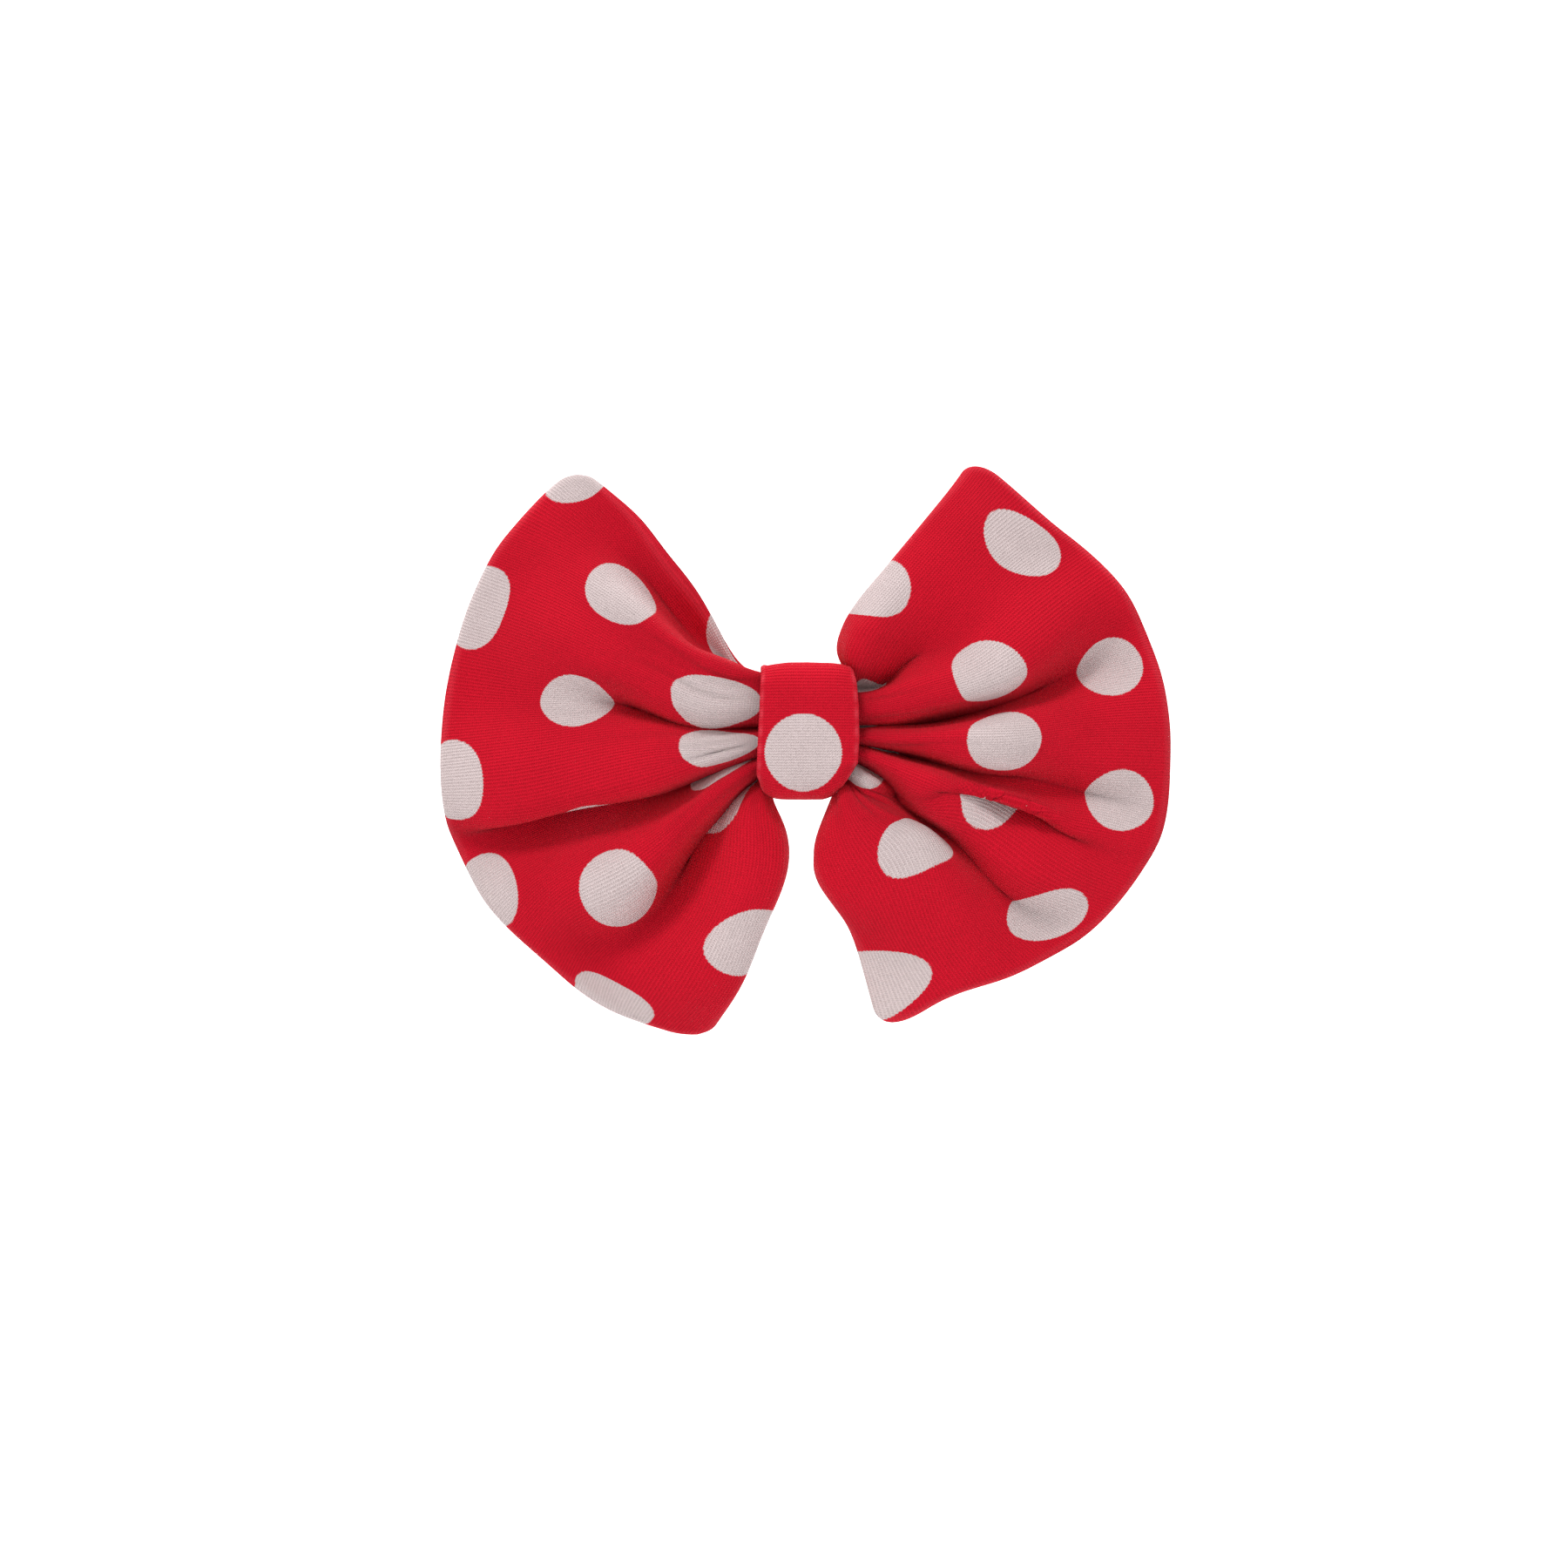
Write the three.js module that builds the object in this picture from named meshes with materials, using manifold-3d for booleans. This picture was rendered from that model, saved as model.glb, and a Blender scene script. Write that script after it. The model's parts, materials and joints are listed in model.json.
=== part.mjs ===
// A pre-tied jersey bow: two panels sewn edge to edge, gathered at the waist, wrapped by a knot
// band that also holds a sprung clip behind it.
// Millimetres. X is the bow's width, -Y is its front, +Y its back, and +Z is up as it is worn.
// The origin lies on the clip's gripping face, straight behind the middle of the knot.
import * as THREE from 'three';
import * as BufferGeometryUtils from 'three/addons/utils/BufferGeometryUtils.js';
import Module from 'manifold-3d';

const wasm = await Module();
wasm.setup();

// ---- Driving dimensions: the fabric ----
const LEFT_REACH = 57.4; // knot's centre to the left wing's rim
const RIGHT_REACH = 56.8;
const LEFT_PEAK = 39.6; // knot's centre up to the left wing's top corner
const RIGHT_PEAK = 41.6;
const LEFT_DROP = 46.7; // knot's centre down to the left wing's bottom corner
const RIGHT_DROP = 45.2;
const PANEL_THICKNESS = 0.9;
const INTERLINING_THICKNESS = 0.5;
const INTERLINING_INSET = 3; // the interlining stops short of the sewn edge
const PLEATS = 4; // whole folds across the waist
const WAIST_FOLD = 2.9; // half the depth of a fold under the knot
const WING_FOLD = 3.5; // half the depth of a fold in the middle of a wing
const RIM_FOLD = 1;
const PLAIN_EDGE = 0.15; // share of the half height beside each long edge that isn't folded

// ---- Driving dimensions: the knot and the threads ----
const KNOT_WIDTH = 15.6;
const KNOT_HEIGHT = 20.6;
const BAND_THICKNESS = 1.2;
const BAND_CORNER = 2.4; // outside radius of the band's front edges
const GATHER_THREAD = 0.7; // diameter
const GATHER_TURNS = 3;
const SEAM_THREAD = 0.3; // diameter
const SEAM_INSET = 0.6; // sewn edge to the middle of the seam thread
const SEAM_GAP = 0.06; // left round the thread in the cloth
const SEAM_STEPS = 160;
const STITCH_LENGTH = 1.7; // along the seam that closes the knot band
const STITCH_SLANT = 0.9; // across that seam
const BAND_SEAM_HEIGHT = -7.2; // where the band's ends lap on its back

// ---- Driving dimensions: the clip ----
const CLIP_NOSE = -26;
const CLIP_TAIL = 24;
const LEAF_WIDTH = 8;
const LEAF_THICKNESS = 0.8;
const JAW_THICKNESS = 0.7;
const EAR_THICKNESS = 0.6;
const PIN_RADIUS = 0.75;
const PIN_RUNNING_GAP = 0.15; // radial, between the pin and the ears' holes
const PIN_HEAD = 1.2; // radius
const SPRING_WIRE = 0.6; // diameter
const SPRING_TURNS = 2.5;
const SPRING_GAP = 0.25; // radial, between the pin and the coil
const TAB_ANGLE = THREE.MathUtils.degToRad(30); // finger tab to the fixed leaf
const TEETH = 4;
const TOOTH_HEIGHT = 0.8;

// ---- Fits ----
const CLEARANCE = 0.3; // between pieces that lie against each other

// ---- Places worked out from the sizes ----
const stack = 2 * PANEL_THICKNESS + INTERLINING_THICKNESS + 2 * CLEARANCE;
const wrap = GATHER_THREAD + 2 * CLEARANCE; // the room that the gather thread takes all round
const bandEdge = KNOT_WIDTH / 2 + CLEARANCE; // where the wings come out from under the band
const waistHalf = KNOT_HEIGHT / 2 - BAND_THICKNESS - wrap;
const bundleBack = -(LEAF_THICKNESS + wrap);
const bundleDepth = 2 * WAIST_FOLD + stack;
const waistMid = bundleBack - bundleDepth / 2;
const wingMid = bundleBack - Math.max(WING_FOLD, WAIST_FOLD) - stack / 2;
const bandInnerFront = bundleBack - bundleDepth - wrap;
const meanReach = (LEFT_REACH + RIGHT_REACH) / 2;
const meanHeight = (LEFT_PEAK + RIGHT_PEAK + LEFT_DROP + RIGHT_DROP) / 4;
const fanSlope = (meanHeight - waistHalf) / (meanReach - bandEdge);

const coilRadius = PIN_RADIUS + SPRING_GAP + SPRING_WIRE / 2; // to the middle of the wire
const coilOuter = coilRadius + SPRING_WIRE / 2;
const pivotX = bandEdge + CLEARANCE + coilOuter + 2;
const pivotY = coilOuter + 2 * CLEARANCE;
const jawUnderside = pivotY + coilOuter + CLEARANCE;
const jawHalfWidth = LEAF_WIDTH / 2 - EAR_THICKNESS - CLEARANCE;

// ---- Solids ----

function toSolid(geometry) {
  const bare = geometry.clone();
  bare.deleteAttribute('normal');
  bare.deleteAttribute('uv');
  const merged = BufferGeometryUtils.mergeVertices(bare, 1e-4);
  const mesh = new wasm.Mesh({
    numProp: 3,
    vertProperties: new Float32Array(merged.attributes.position.array),
    triVerts: new Uint32Array(merged.index.array),
  });
  mesh.merge();
  return new wasm.Manifold(mesh);
}

function toGeometry(solid) {
  const mesh = solid.getMesh();
  const geometry = new THREE.BufferGeometry();
  geometry.setAttribute('position', new THREE.BufferAttribute(mesh.vertProperties, 3));
  geometry.setIndex(new THREE.BufferAttribute(mesh.triVerts, 1));
  geometry.computeVertexNormals();
  return geometry;
}

// A flat outline in X and Y, given thickness along Z from z0 to z1.
function plateAcrossZ(shape, z0, z1) {
  const geometry = new THREE.ExtrudeGeometry(shape, {
    depth: z1 - z0,
    bevelEnabled: false,
    curveSegments: 8,
  });
  return geometry.translate(0, 0, z0);
}

// A flat outline in X and Z, given thickness along Y from y0 to y1.
function plateAcrossY(shape, y0, y1) {
  return plateAcrossZ(shape, -y1, -y0).rotateX(Math.PI / 2);
}

// A flat outline in Y and Z, given thickness along X from x0 to x1.
function plateAcrossX(shape, x0, x1) {
  return plateAcrossZ(shape, x0, x1).rotateX(Math.PI / 2).rotateZ(Math.PI / 2);
}

function roundSection(diameter, sides) {
  const shape = new THREE.Shape();
  for (let i = 0; i < sides; i++) {
    const angle = (2 * Math.PI * i) / sides;
    const x = (diameter / 2) * Math.cos(angle);
    const y = (diameter / 2) * Math.sin(angle);
    if (i === 0) {
      shape.moveTo(x, y);
    } else {
      shape.lineTo(x, y);
    }
  }
  return shape;
}

function sweep(path, diameter, sides, steps) {
  return new THREE.ExtrudeGeometry(roundSection(diameter, sides), { steps, extrudePath: path });
}

function tube(points, diameter, sides, steps) {
  return sweep(new THREE.CatmullRomCurve3(points, false, 'centripetal'), diameter, sides, steps);
}

// A path of straight lines from point to point.
function polyline(points) {
  const path = new THREE.CurvePath();
  for (let i = 1; i < points.length; i++) {
    path.add(new THREE.LineCurve3(points[i - 1], points[i]));
  }
  return path;
}

// ---- The outline of the bow, seen from the front ----

// A wing's edge from the knot's top corner, round the rim, to the knot's bottom corner.
// across is a share of the wing's length beyond the knot, or, where it is negative, of the
// knot's half width that the wing laps over. up is a share of the peak, or of the drop.
const LEFT_EDGE = [
  [0, 0.27], [0.07, 0.29], [0.154, 0.503], [0.341, 0.798], [0.469, 0.947], [0.55, 1],
  [0.651, 0.942], [0.783, 0.768], [0.901, 0.533], [0.968, 0.253], [1, -0.03], [0.978, -0.285],
  [0.9, -0.49], [0.78, -0.653], [0.63, -0.8], [0.47, -0.914], [0.22, -0.998], [0.176, -1],
  [0.15, -0.983], [0.039, -0.829], [-0.09, -0.7], [-0.59, -0.475], [-0.69, -0.383],
  [-0.6, -0.3],
];
const RIGHT_EDGE = [
  [-0.33, 0.28], [-0.41, 0.317], [-0.32, 0.382], [0.006, 0.512], [0.123, 0.654],
  [0.226, 0.815], [0.296, 0.935], [0.382, 1], [0.468, 0.945], [0.626, 0.8], [0.815, 0.587],
  [0.932, 0.346], [1, -0.02], [0.998, -0.212], [0.953, -0.381], [0.858, -0.549],
  [0.704, -0.73], [0.48, -0.836], [0.267, -0.925], [0.1, -1], [0.088, -0.969],
  [0.016, -0.761], [-0.62, -0.577], [-0.877, -0.442], [-0.81, -0.319], [-0.72, -0.27],
];

function wingEdge(shares, side, reach, peak, drop) {
  const corner = KNOT_HEIGHT / 2 + CLEARANCE;
  const points = shares.map(([across, up]) => {
    const past = across < 0 ? bandEdge * across : (reach - bandEdge) * across;
    const height = Math.abs(up > 0 ? up * peak : up * drop);
    const clear = past < 0 ? Math.max(height, corner) : height;
    return new THREE.Vector3(side * (bandEdge + past), 0, Math.sign(up) * clear);
  });
  const curve = new THREE.CatmullRomCurve3(points, false, 'centripetal');
  return curve.getPoints(2 * points.length).map((p) => new THREE.Vector2(p.x, p.z));
}

// The whole edge, anticlockwise: the left wing from top to bottom, then the right wing back up.
function bowOutline() {
  const corner = KNOT_HEIGHT / 2 + CLEARANCE;
  const left = wingEdge(LEFT_EDGE, -1, LEFT_REACH, LEFT_PEAK, LEFT_DROP);
  const right = wingEdge(RIGHT_EDGE, 1, RIGHT_REACH, RIGHT_PEAK, RIGHT_DROP).reverse();
  return [
    new THREE.Vector2(bandEdge, corner),
    new THREE.Vector2(bandEdge, waistHalf),
    new THREE.Vector2(-bandEdge, waistHalf),
    ...left,
    new THREE.Vector2(-bandEdge, -corner),
    new THREE.Vector2(-bandEdge, -waistHalf),
    new THREE.Vector2(bandEdge, -waistHalf),
    new THREE.Vector2(bandEdge, -corner),
    ...right,
  ];
}

function distanceToSegment(point, a, b) {
  const along = b.clone().sub(a);
  const share = point.clone().sub(a).dot(along) / along.lengthSq();
  const nearest = a.clone().addScaledVector(along, THREE.MathUtils.clamp(share, 0, 1));
  return nearest.distanceTo(point);
}

// A closed outline moved inwards; a point that comes too near another stretch is left out.
function inset(outline, distance) {
  const next = (i) => outline[(i + 1) % outline.length];
  const moved = outline.map((point, i) => {
    const before = outline[(i + outline.length - 1) % outline.length];
    const arriving = point.clone().sub(before).normalize();
    const leaving = next(i).clone().sub(point).normalize();
    const along = arriving.add(leaving).normalize();
    return point.clone().addScaledVector(new THREE.Vector2(-along.y, along.x), distance);
  });
  const nearest = 0.97 * distance;
  return moved.filter((point) => (
    outline.every((start, i) => distanceToSegment(point, start, next(i)) > nearest)
  ));
}

// ---- The folds ----

function fanHalf(x) {
  return waistHalf + fanSlope * Math.max(0, Math.abs(x) - bandEdge);
}

// Half the fold depth, from the waist through the middle of a wing to its rim.
function foldDepth(x) {
  const share = THREE.MathUtils.clamp((Math.abs(x) - bandEdge) / (meanReach - bandEdge), 0, 1);
  const opening = THREE.MathUtils.smoothstep(share, 0, 0.35);
  const fading = THREE.MathUtils.smoothstep(share, 0.35, 1);
  const opened = THREE.MathUtils.lerp(WAIST_FOLD, WING_FOLD, opening);
  return THREE.MathUtils.lerp(opened, RIM_FOLD, fading);
}

function foldMiddle(x) {
  const share = THREE.MathUtils.clamp((Math.abs(x) - bandEdge) / bandEdge, 0, 1);
  return THREE.MathUtils.lerp(waistMid, wingMid, share);
}

// Y of the stack's middle at a place x, and v half heights of the fan up from its centre line.
function foldHeight(x, v) {
  const folded = THREE.MathUtils.clamp(v / (1 - PLAIN_EDGE), -1, 1);
  return foldMiddle(x) + foldDepth(x) * Math.cos(PLEATS * Math.PI * folded);
}

// The stations of the folded surface: across the bow, and up the fan.
function acrossStations() {
  const wingSteps = 6;
  const stations = [];
  for (let i = 0; i <= wingSteps; i++) {
    stations.push(-bandEdge - ((wingSteps - i) / wingSteps) * (LEFT_REACH + 1 - bandEdge));
  }
  for (let i = 0; i <= wingSteps; i++) {
    stations.push(bandEdge + (i / wingSteps) * (RIGHT_REACH + 1 - bandEdge));
  }
  return stations;
}

function upStations() {
  const stepsPerPleat = 5;
  const steps = PLEATS * stepsPerPleat;
  const outermost = (LEFT_DROP + RIGHT_DROP) / 2 / waistHalf; // lobes under the knot
  const stations = [-outermost, -1.8, -1.2];
  for (let i = 0; i <= steps; i++) {
    stations.push((1 - PLAIN_EDGE) * ((2 * i) / steps - 1));
  }
  return [...stations, 1.2, 1.8, outermost];
}

const xStations = acrossStations();
const vStations = upStations();

// Y of the faceted surface at any place, on the triangle that lies there. Each cell between
// two stations each way is split from its low inner corner to its high outer one.
function surfaceY(x, z) {
  const { lerp } = THREE.MathUtils;
  const i = Math.max(1, xStations.findIndex((station) => station >= x));
  const j = Math.max(1, vStations.findIndex((station) => station >= z / fanHalf(x)));
  const [x0, x1] = [xStations[i - 1], xStations[i]];
  const [v0, v1] = [vStations[j - 1], vStations[j]];
  const share = (x - x0) / (x1 - x0);
  const between = (va, vb) => ({
    y: lerp(foldHeight(x0, va), foldHeight(x1, vb), share),
    z: lerp(va * fanHalf(x0), vb * fanHalf(x1), share),
  });
  const split = between(v0, v1);
  const [low, high] = z < split.z ? [between(v0, v0), split] : [split, between(v1, v1)];
  return lerp(low.y, high.y, (z - low.z) / (high.z - low.z));
}

// A closed folded sheet whose front lies at front, and back at back, from the stack's middle.
function foldedSheet(front, back) {
  const positions = [];
  for (const offset of [front, back]) {
    for (const x of xStations) {
      for (const v of vStations) {
        positions.push(x, foldHeight(x, v) + offset, v * fanHalf(x));
      }
    }
  }
  const rows = vStations.length;
  const layer = xStations.length * rows;
  const at = (i, j, side) => side * layer + i * rows + j;
  const index = [];
  const quad = (a, b, c, d) => index.push(a, b, c, a, c, d);
  const lastI = xStations.length - 1;
  const lastJ = rows - 1;
  for (let i = 0; i < lastI; i++) {
    for (let j = 0; j < lastJ; j++) {
      quad(at(i, j, 0), at(i + 1, j, 0), at(i + 1, j + 1, 0), at(i, j + 1, 0));
      quad(at(i, j, 1), at(i, j + 1, 1), at(i + 1, j + 1, 1), at(i + 1, j, 1));
    }
    quad(at(i, 0, 0), at(i, 0, 1), at(i + 1, 0, 1), at(i + 1, 0, 0));
    quad(at(i, lastJ, 0), at(i + 1, lastJ, 0), at(i + 1, lastJ, 1), at(i, lastJ, 1));
  }
  for (let j = 0; j < lastJ; j++) {
    quad(at(0, j, 0), at(0, j + 1, 0), at(0, j + 1, 1), at(0, j, 1));
    quad(at(lastI, j, 0), at(lastI, j, 1), at(lastI, j + 1, 1), at(lastI, j + 1, 0));
  }
  const geometry = new THREE.BufferGeometry();
  geometry.setAttribute('position', new THREE.Float32BufferAttribute(positions, 3));
  geometry.setIndex(index);
  return geometry;
}

function cutSheet(front, back, outline) {
  const deepest = KNOT_HEIGHT;
  const cutter = plateAcrossY(new THREE.Shape(outline), -2 * deepest, deepest);
  return toSolid(foldedSheet(front, back)).intersect(toSolid(cutter));
}

// The machine seam runs just inside the turned edge, between the panels.
function seamRoute() {
  const flat = inset(bowOutline(), SEAM_INSET).map((p) => new THREE.Vector3(p.x, 0, p.y));
  const route = polyline(flat).getSpacedPoints(SEAM_STEPS);
  return polyline(route.map((p) => new THREE.Vector3(p.x, surfaceY(p.x, p.z), p.z)));
}

function seamSweep(diameter) {
  return sweep(seamRoute(), diameter, 4, SEAM_STEPS);
}

// A panel gives way where the seam's thread presses into it.
function panel(front, back) {
  const channel = toSolid(seamSweep(SEAM_THREAD + 2 * SEAM_GAP));
  return toGeometry(cutSheet(front, back, bowOutline()).subtract(channel));
}

function frontPanel() {
  return panel(-stack / 2, -stack / 2 + PANEL_THICKNESS);
}

function backPanel() {
  return panel(stack / 2 - PANEL_THICKNESS, stack / 2);
}

function interlining() {
  const half = INTERLINING_THICKNESS / 2;
  return toGeometry(cutSheet(-half, half, inset(bowOutline(), INTERLINING_INSET)));
}

// The thread that joins the panels' edges, once round the bow.
function edgeSeamThread() {
  return seamSweep(SEAM_THREAD);
}

// ---- The waist ----

// A rounded rectangle round the folded bundle, off its faces, in Y and Z.
function bundleSection(off, corner) {
  const halfY = bundleDepth / 2 + off;
  const halfZ = waistHalf + off;
  const path = new THREE.Path();
  for (let quarter = 0; quarter < 4; quarter++) {
    const heading = (Math.PI / 2) * (quarter + 0.5);
    const y = waistMid + Math.sign(Math.cos(heading)) * (halfY - corner);
    const z = Math.sign(Math.sin(heading)) * (halfZ - corner);
    path.absarc(y, z, corner, (Math.PI / 2) * quarter, (Math.PI / 2) * (quarter + 1), false);
  }
  return path;
}

// The thread that gathers the waist: its turns lie side by side, as one ring of their outer shape.
function gatherThread() {
  const corner = CLEARANCE / 2;
  const outer = bundleSection(CLEARANCE + GATHER_THREAD, corner + GATHER_THREAD);
  const shape = new THREE.Shape(outer.getPoints(4));
  shape.holes.push(bundleSection(CLEARANCE, corner));
  const half = (GATHER_TURNS * GATHER_THREAD) / 2;
  return plateAcrossX(shape, -half, half);
}

// The knot band's section in Y and Z, off its inner face: 0 is the inner face.
function bandSection(off) {
  const top = KNOT_HEIGHT / 2 - BAND_THICKNESS + off;
  const front = bandInnerFront - off;
  const back = CLEARANCE + off;
  const shoulder = LEAF_WIDTH / 2 + CLEARANCE + off / 2;
  const lean = -LEAF_THICKNESS + off; // where the side meets the slope to the leaf
  const corner = BAND_CORNER - BAND_THICKNESS + off;
  const path = new THREE.Path();
  path.moveTo(back, -shoulder);
  path.lineTo(back, shoulder);
  path.lineTo(lean, top);
  path.lineTo(front + corner, top);
  path.absarc(front + corner, top - corner, corner, Math.PI / 2, Math.PI, false);
  path.lineTo(front, -top + corner);
  path.absarc(front + corner, -top + corner, corner, Math.PI, 1.5 * Math.PI, false);
  path.lineTo(lean, -top);
  path.closePath();
  return path;
}

function knotBand() {
  const shape = new THREE.Shape(bandSection(BAND_THICKNESS).getPoints(5));
  shape.holes.push(bandSection(0));
  return plateAcrossX(shape, -KNOT_WIDTH / 2, KNOT_WIDTH / 2);
}

// Y of the band's outside face on its back, at a height below the leaf.
function bandBackY(z) {
  const shoulder = LEAF_WIDTH / 2 + CLEARANCE + BAND_THICKNESS / 2;
  const share = (Math.abs(z) - shoulder) / (KNOT_HEIGHT / 2 - shoulder);
  return THREE.MathUtils.lerp(CLEARANCE, -LEAF_THICKNESS, share) + BAND_THICKNESS;
}

// Slanting hand stitches that close the band's lapped ends.
function bandSeamThread() {
  const stitches = Math.floor((KNOT_WIDTH - 2 * STITCH_LENGTH) / STITCH_LENGTH);
  const points = [];
  for (let i = 0; i <= stitches; i++) {
    const z = BAND_SEAM_HEIGHT + (i % 2 === 0 ? -STITCH_SLANT : STITCH_SLANT) / 2;
    const x = (i - stitches / 2) * STITCH_LENGTH;
    points.push(new THREE.Vector3(x, bandBackY(z) + CLEARANCE + SEAM_THREAD / 2, z));
  }
  return tube(points, SEAM_THREAD, 5, 3 * stitches);
}

// ---- The clip ----

function pinHole(halfLength) {
  const hole = new THREE.CylinderGeometry(
    PIN_RADIUS + PIN_RUNNING_GAP, PIN_RADIUS + PIN_RUNNING_GAP, 2 * halfLength, 24,
  );
  return toSolid(hole.rotateX(Math.PI / 2).translate(pivotX, pivotY, 0));
}

// An ear round the pin: a half disc that runs on, straight, to a height toY.
function earShape(radius, toY) {
  const up = toY > pivotY;
  const shape = new THREE.Shape();
  shape.moveTo(pivotX + (up ? -radius : radius), toY);
  shape.lineTo(pivotX + (up ? -radius : radius), pivotY);
  if (up) {
    shape.absarc(pivotX, pivotY, radius, Math.PI, 2 * Math.PI, false);
  } else {
    shape.absarc(pivotX, pivotY, radius, 0, Math.PI, false);
  }
  shape.lineTo(pivotX + (up ? radius : -radius), toY);
  shape.closePath();
  return shape;
}

function withEars(plate, ear, innerZ) {
  const left = toSolid(plateAcrossZ(ear, -innerZ - EAR_THICKNESS, -innerZ));
  const right = toSolid(plateAcrossZ(ear, innerZ, innerZ + EAR_THICKNESS));
  return plate.add(left).add(right).subtract(pinHole(LEAF_WIDTH));
}

// The fixed leaf: a flat strip with round ends and two ears for the pin.
function clipLeaf() {
  const half = LEAF_WIDTH / 2;
  const round = 3;
  const shape = new THREE.Shape();
  shape.moveTo(CLIP_NOSE + round, -half);
  shape.lineTo(CLIP_TAIL - round, -half);
  shape.absarc(CLIP_TAIL - round, -half + round, round, -Math.PI / 2, 0, false);
  shape.absarc(CLIP_TAIL - round, half - round, round, 0, Math.PI / 2, false);
  shape.lineTo(CLIP_NOSE + round, half);
  shape.absarc(CLIP_NOSE + round, half - round, round, Math.PI / 2, Math.PI, false);
  shape.absarc(CLIP_NOSE + round, -half + round, round, Math.PI, 1.5 * Math.PI, false);
  const strip = toSolid(plateAcrossY(shape, -LEAF_THICKNESS, 0));
  const ear = earShape(coilOuter + CLEARANCE, -LEAF_THICKNESS / 2);
  return toGeometry(withEars(strip, ear, half - EAR_THICKNESS));
}

// The jaw's side view: a toothed lip, a plate that rises to the pin, and a finger tab.
function jawProfile() {
  const flat = coilOuter + CLEARANCE;
  const lipTop = CLEARANCE + TOOTH_HEIGHT + LEAF_THICKNESS / 2;
  const tabRun = CLIP_TAIL - pivotX - flat;
  const tabTop = jawUnderside + tabRun * Math.tan(TAB_ANGLE);
  const inner = [
    [CLIP_NOSE + JAW_THICKNESS, lipTop],
    [pivotX - flat, jawUnderside],
    [pivotX + flat, jawUnderside],
    [CLIP_TAIL, tabTop],
  ];
  const outer = inner.map(([x, y]) => [x, y + JAW_THICKNESS]).reverse();
  outer[outer.length - 1][0] = CLIP_NOSE;
  const points = [
    [CLIP_NOSE, CLEARANCE],
    [CLIP_NOSE + JAW_THICKNESS, CLEARANCE],
    ...inner,
    ...outer,
  ];
  return new THREE.Shape(points.map(([x, y]) => new THREE.Vector2(x, y)));
}

// A notch between two teeth, cut through the lip.
function toothNotch(z) {
  const half = (0.8 * jawHalfWidth) / TEETH;
  const low = CLEARANCE / 2;
  const shape = new THREE.Shape([
    new THREE.Vector2(low, z - half),
    new THREE.Vector2(CLEARANCE + TOOTH_HEIGHT, z),
    new THREE.Vector2(low, z + half),
  ]);
  return toSolid(plateAcrossX(shape, CLIP_NOSE - 1, CLIP_NOSE + 1));
}

function clipJaw() {
  const plate = toSolid(plateAcrossZ(jawProfile(), -jawHalfWidth, jawHalfWidth));
  const ear = earShape(coilOuter, jawUnderside + JAW_THICKNESS / 2);
  let jaw = withEars(plate, ear, jawHalfWidth - EAR_THICKNESS);
  for (let i = 1; i < TEETH; i++) {
    jaw = jaw.subtract(toothNotch(jawHalfWidth * ((2 * i) / TEETH - 1)));
  }
  return toGeometry(jaw);
}

// The pin, with a flattened head outside each ear of the leaf.
function clipPin() {
  const ears = LEAF_WIDTH / 2 + CLEARANCE;
  const end = ears + PIN_RADIUS / 1.5;
  const profile = [
    [0, -end], [PIN_HEAD * 0.8, -end], [PIN_HEAD, -ears], [PIN_RADIUS, -ears],
    [PIN_RADIUS, ears], [PIN_HEAD, ears], [PIN_HEAD * 0.8, end], [0, end],
  ];
  const points = profile.map(([radius, along]) => new THREE.Vector2(radius, along));
  return new THREE.LatheGeometry(points, 16).rotateX(Math.PI / 2);
}

// The torsion spring about the pin: a leg on the leaf, the coil, a leg under the finger tab.
function clipSpring() {
  const halfRun = jawHalfWidth - EAR_THICKNESS - CLEARANCE - SPRING_WIRE / 2;
  const legEnd = CLIP_TAIL - pivotX - 4;
  const bend = coilOuter + CLEARANCE; // where the plate turns up into the tab
  const leafY = CLEARANCE + SPRING_WIRE / 2 - pivotY;
  const underTab = jawUnderside - pivotY - (CLEARANCE + SPRING_WIRE / 2) / Math.cos(TAB_ANGLE);
  const tabY = underTab + (legEnd - bend) * Math.tan(TAB_ANGLE);
  const steps = Math.round(SPRING_TURNS * 14);
  const points = [new THREE.Vector3(legEnd, leafY, -halfRun)];
  for (let i = 0; i <= steps; i++) {
    const share = i / steps;
    const angle = -Math.PI / 2 - 2 * Math.PI * SPRING_TURNS * share;
    const z = halfRun * (2 * share - 1);
    points.push(new THREE.Vector3(coilRadius * Math.cos(angle), coilRadius * Math.sin(angle), z));
  }
  points.push(new THREE.Vector3(bend, coilRadius, halfRun));
  points.push(new THREE.Vector3(legEnd, tabY, halfRun));
  return tube(points, SPRING_WIRE, 6, steps + 12);
}

// ---- The assembly ----

const redJersey = { color: 0xd3152d, roughness: 0.85, metalness: 0 };
const whiteFelt = { color: 0xe6e2dc, roughness: 0.95, metalness: 0 };
const redThread = { color: 0xb01222, roughness: 0.7, metalness: 0 };
const nickel = { color: 0xb9bbbe, roughness: 0.32, metalness: 1 };

function addMesh(group, name, geometry, finish) {
  const mesh = new THREE.Mesh(geometry, new THREE.MeshStandardMaterial(finish));
  mesh.name = name;
  group.add(mesh);
  return mesh;
}

const bow = new THREE.Group();
addMesh(bow, 'front_panel', frontPanel(), redJersey);
addMesh(bow, 'interlining', interlining(), whiteFelt);
addMesh(bow, 'back_panel', backPanel(), redJersey);
addMesh(bow, 'edge_seam_thread', edgeSeamThread(), redThread);
addMesh(bow, 'gather_thread', gatherThread(), redThread);
addMesh(bow, 'knot_band', knotBand(), redJersey);
addMesh(bow, 'band_seam_thread', bandSeamThread(), redThread);

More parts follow.
